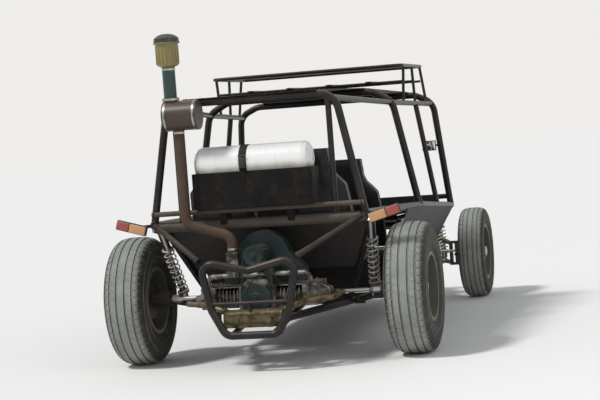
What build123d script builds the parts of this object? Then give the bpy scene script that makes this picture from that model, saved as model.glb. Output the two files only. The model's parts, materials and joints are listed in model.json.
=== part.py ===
"""Four-seat rear-engined desert buggy: an open tube frame on wide wheels.

Millimetres, +Z up, +Y forward, +X to the right. The origin is on the ground
under the middle of the vehicle's length and width.
"""
from build123d import *
from math import cos, pi, radians, sin
import os

# Driving dimensions
WHEELBASE = 2850.0
REAR_OVERHANG = 590.0
FRONT_OVERHANG = 420.0
REAR_TRACK = 1660.0
FRONT_TRACK = 1590.0
REAR_TYRE_R = 380.0
REAR_TYRE_WIDTH = 245.0
FRONT_TYRE_R = 325.0
FRONT_TYRE_WIDTH = 185.0
RIM_R = 190.0
COCKPIT_HALF = 490.0
NOSE_HALF = 210.0
FLOOR_Z = 300.0

# Stock: tube radii, bend radius, sheet thickness
MAIN_R = 22.0
SIDE_R = 17.0
SHELF_R = 15.0
THIN_R = 11.0
BEAM_R = 30.0
BEND = 110.0
TIGHT_BEND = 30.0
PANEL = 3.0

# Clearances: parts that seat, soft parts, parts that turn, pins in their holes
SEAT_GAP = 0.3
SOFT_GAP = 0.6
RUNNING_GAP = 6.0
PIN_GAP = 0.5
# How far a piece reaches into the one that it is fused with
LAP = 1.0

LENGTH = REAR_OVERHANG + WHEELBASE + FRONT_OVERHANG
REAR_AXLE_Y = REAR_OVERHANG - LENGTH / 2
FRONT_AXLE_Y = REAR_AXLE_Y + WHEELBASE

# Frame stations along the vehicle
GUARD_Y = -LENGTH / 2 + MAIN_R
NOSE_Y = LENGTH / 2 - MAIN_R
REAR_HOOP_Y = REAR_AXLE_Y - 250.0
LEG_TOP_Y = REAR_AXLE_Y - 90.0
LEG_FOOT_Y = REAR_AXLE_Y + 160.0
WIDE_FROM_Y = REAR_AXLE_Y + 450.0
CENTRE_HOOP_Y = REAR_AXLE_Y + 950.0
PILLAR_Y = REAR_AXLE_Y + 1580.0
FRONT_HOOP_Y = REAR_AXLE_Y + 2010.0
FRONT_FOOT_Y = FRONT_HOOP_Y + 90.0
WIDE_TO_Y = FRONT_FOOT_Y - 20.0
BULKHEAD_Y = FRONT_AXLE_Y - 240.0
NOSE_BEND_Y = FRONT_AXLE_Y + 50.0

# Nose: half widths and heights of the bulkhead's top and the tip
BULKHEAD_TOP_HALF = NOSE_HALF + 70.0
BULKHEAD_TOP_Z = 625.0
NOSE_TIP_HALF = NOSE_HALF + 5.0
NOSE_TIP_Z = 520.0
NOSE_FOOT_Z = 430.0

# Cross beam behind the seats and the thin tube over it
BEAM_Z = 822.0
SHELF_TUBE_Z = 902.0

# Hoops, right side from the roof down: half width, height
REAR_HOOP = ((495.0, 1528.0), (626.0, 838.0))
CENTRE_HOOP = ((470.0, 1533.0), (600.0, 1462.0), (728.0, 800.0))
FRONT_HOOP = ((560.0, 1497.0), (686.0, 1440.0), (748.0, 722.0))

# Engine guard, right side from the top down: half width, height
GUARD = ((280.0, 640.0), (225.0, 360.0), (150.0, 215.0))
GUARD_BEND = 60.0
GUARD_VEE_Z = 575.0
GUARD_BAR_Z = 395.0

# Powertrain
AXLE_Z = REAR_TYRE_R
TRANSAXLE_Z = AXLE_Z + 25.0
TRANSAXLE_FROM_Y = REAR_AXLE_Y - 100.0
ENGINE_TO_Y = TRANSAXLE_FROM_Y - SEAT_GAP
ENGINE_FROM_Y = REAR_AXLE_Y - 410.0


def line_at(start, end, share):
    """The point a share of the way from start to end."""
    start, end = Vector(*start), Vector(*end)
    return start + (end - start) * share


def bar(start, end, radius):
    """A straight round bar between two points."""
    start, end = Vector(*start), Vector(*end)
    along = end - start
    return Solid.make_cylinder(radius, along.length, Plane(origin=start, z_dir=along))


def tube(points, radius, bend=BEND, close=False):
    """A round tube bent along the points."""
    path = FilletPolyline(*[Vector(*p) for p in points], radius=bend, close=close)
    profile = Plane(origin=path @ 0, z_dir=path % 0) * Circle(radius)
    return sweep(profile, path=path).solid()


def box(x, y, z):
    """A block between the low and high values of each axis."""
    size = (x[1] - x[0], y[1] - y[0], z[1] - z[0])
    middle = (sum(x) / 2, sum(y) / 2, sum(z) / 2)
    return Solid.make_box(*size).moved(Location(tuple(m - s / 2 for m, s in zip(middle, size))))


def around(middle, half):
    """The low and high values a half width either side of the middle."""
    return (middle - half, middle + half)


def along_x(x_from, x_to, radius, y, z):
    """A round bar along X."""
    return bar((x_from, y, z), (x_to, y, z), radius)


def along_y(y_from, y_to, radius, x, z):
    """A round bar along Y."""
    return bar((x, y_from, z), (x, y_to, z), radius)


def along_z(z_from, z_to, radius, x, y):
    """A round bar along Z."""
    return bar((x, y, z_from), (x, y, z_to), radius)


def turned(profile_points, y, z):
    """A solid turned about the X axis through y, z from its half section of x, radius."""
    outline = Polyline(*[(x, radius, 0) for x, radius in profile_points], close=True)
    return revolve(make_face(outline), Axis.X).solid().moved(Location((0, y, z)))


def turned_y(profile_points, x, z):
    """A solid turned about the Y axis through x, z from its half section of y, radius."""
    outline = Polyline(*[(radius, y, 0) for y, radius in profile_points], close=True)
    return revolve(make_face(outline), Axis.Y).solid().moved(Location((x, 0, z)))


def turned_z(profile_points):
    """A solid turned about the Z axis from its half section of z, radius."""
    outline = Polyline(*[(radius, 0, z) for z, radius in profile_points], close=True)
    return revolve(make_face(outline), Axis.Z).solid()


def extruded_x(profile_yz, x_from, x_to):
    """A side-view outline of y, z given a width along X."""
    outline = Polyline(*[(x_from, y, z) for y, z in profile_yz], close=True)
    return extrude(make_face(outline), x_to - x_from, dir=(1, 0, 0)).solid()


def extruded_z(plan_xy, z_from, z_to):
    """A plan outline of x, y given a height."""
    outline = Polyline(*[(x, y, z_from) for x, y in plan_xy], close=True)
    return extrude(make_face(outline), z_to - z_from, dir=(0, 0, 1)).solid()


def extruded_y(profile_xz, y_from, y_to):
    """A front-view outline of x, z given a depth along Y."""
    outline = Polyline(*[(x, y_from, z) for x, z in profile_xz], close=True)
    return extrude(make_face(outline), y_to - y_from, dir=(0, 1, 0)).solid()


def largest(shape):
    """The largest solid of a cut shape."""
    return max(shape.solids(), key=lambda piece: piece.volume)


def coped(member, *through):
    """The member notched to sit on the through tubes, without the offcuts."""
    for other in through:
        member = largest(Compound(children=[member]).cut(other))
    return member


def joined(*shapes):
    """The shapes fused into one solid."""
    whole = shapes[0]
    for shape in shapes[1:]:
        whole = whole + shape
    (solid,) = whole.solids()
    return solid


def on_bend(before, corner, after, bend=BEND):
    """The point of a bent tube's centre line nearest to its corner."""
    before, corner, after = Vector(*before), Vector(*corner), Vector(*after)
    to_before = (before - corner).normalized()
    to_after = (after - corner).normalized()
    half = radians(to_before.get_angle(to_after)) / 2
    return corner + (to_before + to_after).normalized() * (bend / sin(half) - bend)


def left(shape):
    """The mirror image on the left side."""
    return mirror(shape, about=Plane.YZ)


def both(*shapes):
    """The shapes and their mirror images on the left side."""
    return [*shapes, *[left(shape) for shape in shapes]]


def mirrored_plan(half):
    """A whole outline from the points of its right half."""
    return [*half, *[(-x, other) for x, other in reversed(half)]]


def doubled(half):
    """Corners from the left foot over the top to the right foot."""
    right = list(reversed(half))
    return [(-x, y, z) for x, y, z in right] + list(half)


def write(name, shapes):
    """Writes one node's solids to its STEP file."""
    solids = [solid for shape in shapes for solid in shape.solids()]
    export_step(Compound(children=solids), os.path.join("parts", name + ".step"))


os.makedirs("parts", exist_ok=True)

# Points where the frame's tubes meet, right side
GUARD_SIDE_SHARE = (FLOOR_Z - GUARD[2][1]) / (GUARD[1][1] - GUARD[2][1])
TAIL_HALF = GUARD[2][0] + (GUARD[1][0] - GUARD[2][0]) * GUARD_SIDE_SHARE
WAIST = (
    (REAR_HOOP[1][0], REAR_HOOP_Y, REAR_HOOP[1][1]),
    (CENTRE_HOOP[2][0], CENTRE_HOOP_Y, CENTRE_HOOP[2][1]),
    (FRONT_HOOP[2][0], FRONT_FOOT_Y, FRONT_HOOP[2][1]),
)
BULKHEAD_TOP = (BULKHEAD_TOP_HALF, BULKHEAD_Y, BULKHEAD_TOP_Z)
NOSE_TIP = (NOSE_TIP_HALF, NOSE_Y, NOSE_TIP_Z)
WAIST_END_STUB = 22.0
FOOT_PAST = 9.0


def rail_x(y):
    """The floor rail's half width at a station between tail and cockpit."""
    share = (y - GUARD_Y) / (WIDE_FROM_Y - GUARD_Y)
    return TAIL_HALF + (COCKPIT_HALF - TAIL_HALF) * share


def waist_at(y):
    """A point on the right waist rail's centre line."""
    share = (y - REAR_HOOP_Y) / (CENTRE_HOOP_Y - REAR_HOOP_Y)
    if share <= 1:
        return line_at(WAIST[0], WAIST[1], share)
    return line_at(WAIST[1], WAIST[2], (y - CENTRE_HOOP_Y) / (FRONT_FOOT_Y - CENTRE_HOOP_Y))


def hoop_half(corners, top_y, foot_y):
    """The right half of a hoop, leaned so that its foot may stand further forward."""
    top_z, foot_z = corners[0][1], corners[-1][1]
    return [(x, top_y + (foot_y - top_y) * (top_z - z) / (top_z - foot_z), z) for x, z in corners]


def hoop(half):
    """A hoop over the cabin, its feet run on into the rails."""
    knee, foot = Vector(*half[-2]), Vector(*half[-1])
    return tube(doubled([*half[:-1], foot + (foot - knee).normalized() * FOOT_PAST]), MAIN_R)


# Frame: guard, bumper, rails and hoops
guard_half = [(x, GUARD_Y, z) for x, z in GUARD]
guard_loop = tube(
    [(0, GUARD_Y, GUARD_VEE_Z)] + guard_half + [(-x, y, z) for x, y, z in reversed(guard_half)],
    MAIN_R, GUARD_BEND, close=True)
guard_bar = coped(along_x(-GUARD[0][0], GUARD[0][0], THIN_R, GUARD_Y, GUARD_BAR_Z), guard_loop)
guard = joined(guard_loop, guard_bar)

BUMPER_HALF = NOSE_TIP_HALF + 35.0
BUMPER_BEND = 44.0
bumper = tube([
    (BUMPER_HALF, NOSE_Y, NOSE_FOOT_Z),
    (BUMPER_HALF, NOSE_Y, NOSE_TIP_Z),
    (-BUMPER_HALF, NOSE_Y, NOSE_TIP_Z),
    (-BUMPER_HALF, NOSE_Y, NOSE_FOOT_Z),
], MAIN_R, BUMPER_BEND, close=True)

floor_rail = coped(tube([
    (TAIL_HALF, GUARD_Y, FLOOR_Z),
    (COCKPIT_HALF, WIDE_FROM_Y, FLOOR_Z),
    (COCKPIT_HALF, WIDE_TO_Y, FLOOR_Z),
    (NOSE_HALF, BULKHEAD_Y, FLOOR_Z),
    (NOSE_HALF, NOSE_BEND_Y, FLOOR_Z),
    (NOSE_HALF, NOSE_Y, NOSE_FOOT_Z),
], MAIN_R), guard, bumper)
floor_rails = both(floor_rail)

rear_half = hoop_half(REAR_HOOP, REAR_HOOP_Y, REAR_HOOP_Y)
centre_half = hoop_half(CENTRE_HOOP, CENTRE_HOOP_Y, CENTRE_HOOP_Y)
front_half = hoop_half(FRONT_HOOP, FRONT_HOOP_Y, FRONT_FOOT_Y)
front_hoop = hoop(front_half)
waist_start = line_at(WAIST[0], WAIST[1], -WAIST_END_STUB / (CENTRE_HOOP_Y - REAR_HOOP_Y))
waist_rail = coped(tube([waist_start, *WAIST[1:]], MAIN_R), front_hoop)
waist_rails = both(waist_rail)
rear_hoop = coped(hoop(rear_half), *waist_rails)
centre_hoop = coped(hoop(centre_half), *waist_rails)

rear_corner = on_bend((0, REAR_HOOP_Y, rear_half[0][2]), *rear_half)
centre_corner = on_bend(*centre_half)
front_corner = on_bend(*front_half)
roof_rails = [
    *both(coped(bar(rear_corner, centre_corner, SIDE_R), rear_hoop, centre_hoop)),
    *both(coped(bar(centre_corner, front_corner, SIDE_R), centre_hoop, front_hoop)),
]
front_roof_rail = roof_rails[2]


def roof_rail_at(y):
    """A point on the right front roof rail's centre line."""
    share = (y - centre_corner.Y) / (front_corner.Y - centre_corner.Y)
    return line_at(centre_corner, front_corner, share)


nose_rail = coped(
    tube([WAIST[2], BULKHEAD_TOP, NOSE_TIP], SIDE_R), front_hoop, waist_rail, bumper)
nose_rails = both(nose_rail)


def nose_rail_at(y):
    """A point on the right nose rail's centre line, ahead of the bulkhead."""
    return line_at(BULKHEAD_TOP, NOSE_TIP, (y - BULKHEAD_Y) / (NOSE_Y - BULKHEAD_Y))


def nose_floor_at(y):
    """A point on the right floor rail's centre line in the nose."""
    rise = max(0.0, (y - NOSE_BEND_Y) / (NOSE_Y - NOSE_BEND_Y))
    return Vector(NOSE_HALF, y, FLOOR_Z + (NOSE_FOOT_Z - FLOOR_Z) * rise)


# Frame: cross beam behind the seats, uprights, braces
UPRIGHT_X = 455.0
beam = coped(along_x(-WAIST[0][0], WAIST[0][0], BEAM_R, REAR_HOOP_Y, BEAM_Z),
             *waist_rails, rear_hoop)
uprights = both(coped(
    bar((UPRIGHT_X, REAR_HOOP_Y, BEAM_Z), (UPRIGHT_X, REAR_HOOP_Y, REAR_HOOP[0][1]), SIDE_R),
    beam, rear_hoop))
shelf_y = REAR_HOOP_Y - SIDE_R - SHELF_R - SEAT_GAP
shelf_tube = coped(
    along_x(-WAIST[0][0], WAIST[0][0], SHELF_R, shelf_y, SHELF_TUBE_Z), rear_hoop)

leg_top = waist_at(LEG_TOP_Y)
leg_foot = Vector(rail_x(LEG_FOOT_Y), LEG_FOOT_Y, FLOOR_Z)
rear_legs = both(coped(bar(leg_top, leg_foot, SIDE_R), waist_rail, floor_rail))
tail_rails = both(coped(
    bar(guard_half[0], WAIST[0], SIDE_R), guard, waist_rail, beam, rear_hoop))

# Cross tubes on the floor, by station
SKID_CROSS_Y = LEG_FOOT_Y + 60.0
CROSS_TUBE_YS = (
    SKID_CROSS_Y,
    WIDE_FROM_Y,
    CENTRE_HOOP_Y + 60.0,
    PILLAR_Y,
    WIDE_TO_Y - 60.0,
    BULKHEAD_Y + 30.0,
)
floor_cross = [
    coped(along_x(-COCKPIT_HALF, COCKPIT_HALF, SIDE_R, y, FLOOR_Z), *floor_rails)
    for y in CROSS_TUBE_YS
]
SKID_X = 120.0
skid_start = (SKID_X, GUARD_Y, GUARD[2][1])
skid_bars = both(coped(
    bar(skid_start, (SKID_X, SKID_CROSS_Y, FLOOR_Z), SIDE_R), guard, floor_cross[0]))

DASH_TUBE_Z = 785.0
front_lean = (FRONT_FOOT_Y - FRONT_HOOP_Y) / (FRONT_HOOP[0][1] - FRONT_HOOP[2][1])
dash_y = FRONT_FOOT_Y - (DASH_TUBE_Z - WAIST[2][2]) * front_lean
dash_tube = coped(along_x(-WAIST[2][0], WAIST[2][0], SIDE_R, dash_y, DASH_TUBE_Z), front_hoop)

# Bulkheads in the nose: station of the uprights, station of the tube across their tops
BULKHEADS = ((BULKHEAD_Y + 70.0, BULKHEAD_Y + 20.0), (FRONT_AXLE_Y + 240.0, FRONT_AXLE_Y + 290.0))
bulkhead_tubes = []
for upright_y, across_y in BULKHEADS:
    upright = bar(nose_floor_at(upright_y), nose_rail_at(upright_y), SIDE_R)
    bulkhead_tubes += both(coped(upright, floor_rail, nose_rail))
    across = nose_rail_at(across_y)
    bulkhead_tubes.append(coped(along_x(-across.X, across.X, SIDE_R, across_y, across.Z),
                                *nose_rails))

# Sides: station on the waist rail, station on the floor rail
SIDE_TUBES = ((CENTRE_HOOP_Y, CENTRE_HOOP_Y), (FRONT_FOOT_Y - 45.0, WIDE_TO_Y - 120.0),
              (CENTRE_HOOP_Y + 70.0, PILLAR_Y + 130.0))
side_tubes = []
for waist_y, floor_y in SIDE_TUBES:
    foot = (COCKPIT_HALF, floor_y, FLOOR_Z)
    side_tubes += both(coped(bar(waist_at(waist_y), foot, SIDE_R), waist_rail, floor_rail))
side_tubes += both(coped(bar(waist_at(PILLAR_Y), roof_rail_at(PILLAR_Y), SIDE_R),
                         waist_rail, front_roof_rail))

# Roof rack: a rail on posts, three round bars between the posts, flat slats on the bars
RACK_TOP_Z = 1690.0
RACK_HALF = 630.0
RACK_FROM_Y = CENTRE_HOOP_Y + 230.0
RACK_TO_Y = FRONT_HOOP_Y - 30.0
RACK_BEND = 60.0
RACK_POST_INSET = 90.0
RACK_POST_R = 9.5
ROOF_BAR_R = 8.0
ROOF_BAR_Z = 1588.0
SLAT_HALF = 18.0
SLAT_THICK = 5.0
SLAT_PAST = 30.0
SLAT_SHARES = (-0.63, -0.21, 0.21, 0.63)
rack_loop = tube([
    (RACK_HALF, RACK_FROM_Y, RACK_TOP_Z), (RACK_HALF, RACK_TO_Y, RACK_TOP_Z),
    (-RACK_HALF, RACK_TO_Y, RACK_TOP_Z), (-RACK_HALF, RACK_FROM_Y, RACK_TOP_Z),
], THIN_R, RACK_BEND, close=True)
rack_post_ys = (RACK_FROM_Y + RACK_POST_INSET, (RACK_FROM_Y + RACK_TO_Y) / 2,
                RACK_TO_Y - RACK_POST_INSET)
rack_posts = []
for y in rack_post_ys:
    post = bar((RACK_HALF, y, RACK_TOP_Z), roof_rail_at(y), RACK_POST_R)
    rack_posts += both(coped(post, front_roof_rail))
rack = joined(rack_loop, *rack_posts)
rack_bars = [coped(along_x(-RACK_HALF, RACK_HALF, ROOF_BAR_R, y, ROOF_BAR_Z), *rack_posts)
             for y in rack_post_ys]
slat_y = (rack_post_ys[0] - SLAT_PAST, rack_post_ys[2] + SLAT_PAST)
slat_z = (ROOF_BAR_Z + ROOF_BAR_R - LAP, ROOF_BAR_Z + ROOF_BAR_R + SLAT_THICK)
flat_slats = [box(around(RACK_HALF * share, SLAT_HALF), slat_y, slat_z) for share in SLAT_SHARES]
rack_slats = joined(rack_bars[0], *flat_slats, *rack_bars[1:])


# Panels
PANEL_LIFT = MAIN_R + SEAT_GAP


def sheet_x(top_line, x_half):
    """A sheet of one bent side-view line of y, z, as wide as twice x_half."""
    under = [(y, z - PANEL) for y, z in reversed(top_line)]
    return extruded_x([*top_line, *under], -x_half, x_half)


def trimmed(sheet, plan):
    """The sheet cut to a plan outline given for its right half, rear to front."""
    return largest(sheet & extruded_z(mirrored_plan(plan), 0, RACK_TOP_Z))


# Roof panel: station, half width, height of the tubes that it lies on
ROOF = (
    (REAR_HOOP_Y - 30.0, 395.0, REAR_HOOP[0][1]),
    (CENTRE_HOOP_Y, 430.0, CENTRE_HOOP[0][1]),
    (FRONT_HOOP_Y + 40.0, 520.0, FRONT_HOOP[0][1] - 1.0),
)
roof_line = [(y, z + PANEL_LIFT + PANEL) for y, half, z in ROOF]
roof_panel = trimmed(sheet_x(roof_line, FRONT_HOOP[0][0]), [(half, y) for y, half, z in ROOF])

FLOOR_REAR_PAST = 12.0
FLOOR_FRONT_SHORT = 10.0
FLOOR_TOP_Z = FLOOR_Z + PANEL_LIFT + PANEL
floor_plan = ((COCKPIT_HALF, WIDE_FROM_Y + FLOOR_REAR_PAST), (COCKPIT_HALF, WIDE_TO_Y),
              (NOSE_HALF, BULKHEAD_Y - FLOOR_FRONT_SHORT))
floor_sheet = coped(
    extruded_z(mirrored_plan(floor_plan), FLOOR_Z + PANEL_LIFT, FLOOR_TOP_Z), *side_tubes)

# Seats: place of the cushion's rear, front and underside
SEAT_X = 290.0
SEAT_HALF = 220.0
CUSHION_THICK = 110.0
CUSHION_NOSE = 40.0
BACK_THICK = 110.0
BACK_LEAN = 0.36
BACK_RISE = 620.0
BACK_TOP_SHARE = 0.8
FRONT_SEAT = {"rear": CENTRE_HOOP_Y + 110.0, "front": CENTRE_HOOP_Y + 580.0, "z": 410.0}
REAR_SEAT = {"rear": LEG_FOOT_Y - 20.0, "front": LEG_FOOT_Y + 420.0, "z": 508.0}
# Outline of a back seen from behind, upwards: share of its rise, half width
BACK_OUTLINE = ((0.0, 212.0), (0.3, SEAT_HALF), (0.62, 206.0), (0.76, 132.0), (1.0, 116.0))


def seat(place):
    """A cushion and a leaning high back with shoulders, right side."""
    low, high = place["z"], place["z"] + CUSHION_THICK
    foot_y = place["rear"] - BACK_LEAN * CUSHION_THICK
    cushion = extruded_x([
        (place["rear"], low), (place["front"] - CUSHION_NOSE, low),
        (place["front"], low + CUSHION_NOSE), (place["front"], high), (foot_y, high),
    ], *around(SEAT_X, SEAT_HALF))
    low, high = high + SOFT_GAP, high + BACK_RISE
    head_y = foot_y - BACK_LEAN * BACK_RISE
    back = extruded_x([
        (foot_y, low), (foot_y + BACK_THICK, low),
        (head_y + BACK_THICK * BACK_TOP_SHARE, high), (head_y, high),
    ], *around(SEAT_X, SEAT_HALF))
    right_edge = [(SEAT_X + half, low + share * (high - low)) for share, half in BACK_OUTLINE]
    left_edge = [(2 * SEAT_X - x, z) for x, z in reversed(right_edge)]
    outline = extruded_y([*right_edge, *left_edge], head_y - LAP, foot_y + BACK_THICK + LAP)
    return [cushion, largest(back & outline)]


front_seats = both(*seat(FRONT_SEAT))
rear_seats = both(*seat(REAR_SEAT))

# Sheet pedestals under the front seats and the heel board under the rear ones
BASE_INSET = 30.0
HEEL_INSET = 60.0
HEEL_FLANGE = 60.0
base_x = around(SEAT_X, SEAT_HALF - BASE_INSET)
base_y = (FRONT_SEAT["rear"] + BASE_INSET, FRONT_SEAT["front"] - 2 * BASE_INSET)
base_z = (FLOOR_TOP_Z, FRONT_SEAT["z"] - SEAT_GAP)
seat_base = box(base_x, base_y, base_z) - box(
    (base_x[0] + PANEL, base_x[1] - PANEL), (base_y[0] + PANEL, base_y[1] - PANEL),
    (base_z[0] - LAP, base_z[1] + LAP))
heel_y = REAR_SEAT["front"] - HEEL_INSET
heel_top = REAR_SEAT["z"] - SEAT_GAP
heel_half = COCKPIT_HALF - BASE_INSET
heel_board = extruded_x([
    (heel_y, FLOOR_TOP_Z), (heel_y, heel_top - PANEL), (heel_y - HEEL_FLANGE, heel_top - PANEL),
    (heel_y - HEEL_FLANGE, heel_top), (heel_y + PANEL, heel_top), (heel_y + PANEL, FLOOR_TOP_Z),
], -heel_half, heel_half)
floor_pan = joined(floor_sheet, *both(seat_base.solid()), heel_board)

# Firewall on the front of the sloping rear legs
WALL_Z = (512.0, 800.0)
leg_slope = (leg_top.Y - leg_foot.Y) / (leg_top.Z - leg_foot.Z)
leg_tilt = (1 + leg_slope ** 2) ** 0.5


def wall_line(z, extra=0.0):
    """Where the firewall's rear face lies at a height, or a face that far in front of it."""
    off_leg = (SIDE_R + SEAT_GAP + extra) * leg_tilt
    return leg_foot.Y + (z - FLOOR_Z) * leg_slope + off_leg


def leg_at(z):
    """A point of the right rear leg's centre line at a height."""
    return line_at(leg_foot, leg_top, (z - FLOOR_Z) / (leg_top.Z - FLOOR_Z))


wall_sheet = extruded_x([
    (wall_line(WALL_Z[0]), WALL_Z[0]), (wall_line(WALL_Z[1]), WALL_Z[1]),
    (wall_line(WALL_Z[1], PANEL), WALL_Z[1]), (wall_line(WALL_Z[0], PANEL), WALL_Z[0]),
], -WAIST[0][0], WAIST[0][0])
wall_outline = mirrored_plan([(leg_at(z).X, z) for z in WALL_Z])
firewall = largest(wall_sheet & extruded_y(wall_outline, -LENGTH / 2, 0))

# Side panels outside the waist and floor rails
SIDE_PANEL_REAR = 380.0
SIDE_PANEL_FRONT = 30.0


def skin_section(y):
    """A thin slanting section across the right side panel."""
    top = waist_at(y)
    low, high = Vector(COCKPIT_HALF, y, FLOOR_Z), Vector(top.X, y, top.Z)
    slope = (high - low).normalized()
    out = Vector(slope.Z, 0, -slope.X)
    near, far = out * PANEL_LIFT, out * (PANEL_LIFT + PANEL)
    return make_face(Polyline(low + near, high + near, high + far, low + far, close=True))


side_ys = (CENTRE_HOOP_Y - SIDE_PANEL_REAR, CENTRE_HOOP_Y, WIDE_TO_Y - SIDE_PANEL_FRONT)
side_sheets = [loft([skin_section(y) for y in ends], ruled=True).solid()
               for ends in (side_ys[:2], side_ys[1:])]
side_panels = both(joined(*side_sheets))

# Nose panel on the nose rails, its edges short of their centre lines
NOSE_PANEL_LIFT = SIDE_R + SEAT_GAP + 0.4
NOSE_PANEL_REAR = 40.0
NOSE_PANEL_FRONT = 60.0
NOSE_EDGE = 14.0
nose_share = NOSE_PANEL_REAR / (BULKHEAD_Y - FRONT_FOOT_Y)
nose_points = (line_at(WAIST[2], BULKHEAD_TOP, nose_share), Vector(*BULKHEAD_TOP),
               nose_rail_at(NOSE_Y - NOSE_PANEL_FRONT))
nose_line = [(point.Y, point.Z + NOSE_PANEL_LIFT + PANEL) for point in nose_points]
nose_panel = trimmed(sheet_x(nose_line, WAIST[2][0]),
                     [(point.X - NOSE_EDGE, point.Y) for point in nose_points])

# Fuel tank in its tray between the hoop's uprights
TANK_R = 98.0
TANK_HALF = 348.0
TANK_Z = 1171.0
TANK_CAP_X = 215.0
TANK_CAP_R = 30.0
TANK_CAP_RISE = 16.0
TRAY_HALF = TANK_HALF + PANEL + LAP
TRAY_DEPTH_HALF = 88.0
# Half section of a domed end, outwards: distance from the end, share of the radius
TANK_DOME = ((45.0, 1.0), (27.0, 0.93), (10.0, 0.7), (0.0, 0.3), (0.0, 0.0))
tank_section = [(TANK_HALF - inset, TANK_R * share) for inset, share in TANK_DOME]
fuel_tank = turned([*tank_section, *[(-x, r) for x, r in reversed(tank_section)]],
                   REAR_HOOP_Y, TANK_Z)
fuel_tank = joined(fuel_tank, along_y(
    REAR_HOOP_Y, REAR_HOOP_Y + TANK_R + TANK_CAP_RISE, TANK_CAP_R, TANK_CAP_X, TANK_Z))
tray_inner = TRAY_DEPTH_HALF - PANEL
tray_y = around(REAR_HOOP_Y, TRAY_DEPTH_HALF)
tray_z = (SHELF_TUBE_Z + SHELF_R + SEAT_GAP,
          TANK_Z - (TANK_R ** 2 - tray_inner ** 2) ** 0.5 - SEAT_GAP)
tray = box((-TRAY_HALF, TRAY_HALF), tray_y, tray_z) - box(
    (PANEL - TRAY_HALF, TRAY_HALF - PANEL), around(REAR_HOOP_Y, tray_inner),
    (tray_z[0] + PANEL, tray_z[1] + PANEL))
STRAP_X = -45.0
STRAP_HALF = 22.0
strap_x = around(STRAP_X, STRAP_HALF)
strap = turned([
    (strap_x[0], TANK_R + SEAT_GAP), (strap_x[1], TANK_R + SEAT_GAP),
    (strap_x[1], TANK_R + PANEL), (strap_x[0], TANK_R + PANEL),
], REAR_HOOP_Y, TANK_Z)
REST_X = 200.0
REST_HALF = 20.0
REST_INSET = 10.0
rest_y = (REAR_HOOP_Y - BEAM_R, tray_y[1] - REST_INSET)
rests = [coped(box(around(x, REST_HALF), rest_y, (BEAM_Z, tray_z[0] + LAP)), beam, shelf_tube)
         for x in (-REST_X, REST_X)]
tank_tray = joined(tray, strap, *rests)

# Air intake: canister behind the left upright, mast with pre-cleaner above it
CANISTER_X = (-470.0, -270.0)
CANISTER_R = 85.0
CANISTER_Z = 1462.0
INTAKE_Y = REAR_HOOP_Y - 125.0
MAST_X = -430.0
# Half section of the mast and its pre-cleaner, upwards: height, radius
MAST = ((CANISTER_Z, 0.0), (CANISTER_Z, 38.0), (1548.0, 38.0), (1548.0, 48.0), (1566.0, 48.0),
        (1566.0, 37.0), (1740.0, 37.0), (1752.0, 61.0), (1876.0, 65.0), (1880.0, 74.0),
        (1906.0, 71.0), (1922.0, 50.0), (1930.0, 26.0), (1930.0, 0.0))
LUG_HALF_WIDE = 20.0
LUG_HALF_TALL = 25.0
LUG_INSIDE = 60.0
mast = turned_z(MAST).moved(Location((MAST_X, INTAKE_Y, 0)))
canister = along_x(*CANISTER_X, CANISTER_R, INTAKE_Y, CANISTER_Z)
canister_lug = box(around(MAST_X, LUG_HALF_WIDE), (INTAKE_Y + LUG_INSIDE, REAR_HOOP_Y),
                   around(CANISTER_Z, LUG_HALF_TALL))
air_cleaner = coped(joined(mast, canister_lug, canister), uprights[1], rear_hoop)

# Engine: flat four with finned cylinders
CASE_HALF = 105.0
# Right half of the case's section, upwards: half width, height over the crank
CASE = ((60.0, -115.0), (CASE_HALF, -70.0), (CASE_HALF, 60.0), (55.0, 103.0))
CYLINDER_YS = (ENGINE_TO_Y - 75.0, ENGINE_TO_Y - 205.0)
CYLINDER_X = (CASE_HALF, 255.0)
CYLINDER_R = 44.0
FIN_HALF = 58.0
FIN_CORNER = 20.0
FIN_COUNT = 6
FIN_THICK = 5.0
HEAD_PAST = 65.0
HEAD_X = (CYLINDER_X[1], 340.0)
HEAD_Y = (CYLINDER_YS[1] - HEAD_PAST, CYLINDER_YS[0] + HEAD_PAST)
HEAD_Z = around(TRANSAXLE_Z, 60.0)
COVER_INSET = 12.0
# Section of a rocker cover: distance from the head's face, share of the head's height
COVER = ((-LAP, 0.07), (38.0, 0.18), (38.0, 0.65), (-LAP, 0.77))
fin_pitch = (CYLINDER_X[1] - CYLINDER_X[0]) / (FIN_COUNT + 1)
crankcase = extruded_y(mirrored_plan([(x, TRANSAXLE_Z + z) for x, z in CASE]),
                       ENGINE_FROM_Y, ENGINE_TO_Y)


def fin(x, y):
    """A square cooling fin with cut corners round a cylinder."""
    short = FIN_HALF - FIN_CORNER
    corners = ((FIN_HALF, -short), (FIN_HALF, short), (short, FIN_HALF), (-short, FIN_HALF),
               (-FIN_HALF, short), (-FIN_HALF, -short), (-short, -FIN_HALF), (short, -FIN_HALF))
    return extruded_x([(y + across, TRANSAXLE_Z + up) for across, up in corners],
                      *around(x, FIN_THICK / 2))


def cylinder(y):
    """A finned cylinder of the right bank."""
    barrel = along_x(CYLINDER_X[0] - LAP, CYLINDER_X[1] + LAP, CYLINDER_R, y, TRANSAXLE_Z)
    fins = [fin(CYLINDER_X[0] + fin_pitch * number, y) for number in range(1, FIN_COUNT + 1)]
    return joined(barrel, *fins)


rocker_cover = extruded_y(
    [(HEAD_X[1] + out, HEAD_Z[0] + share * (HEAD_Z[1] - HEAD_Z[0])) for out, share in COVER],
    HEAD_Y[0] + COVER_INSET, HEAD_Y[1] - COVER_INSET)
engine_side = [*[cylinder(y) for y in CYLINDER_YS], box(HEAD_X, HEAD_Y, HEAD_Z), rocker_cover]

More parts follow.
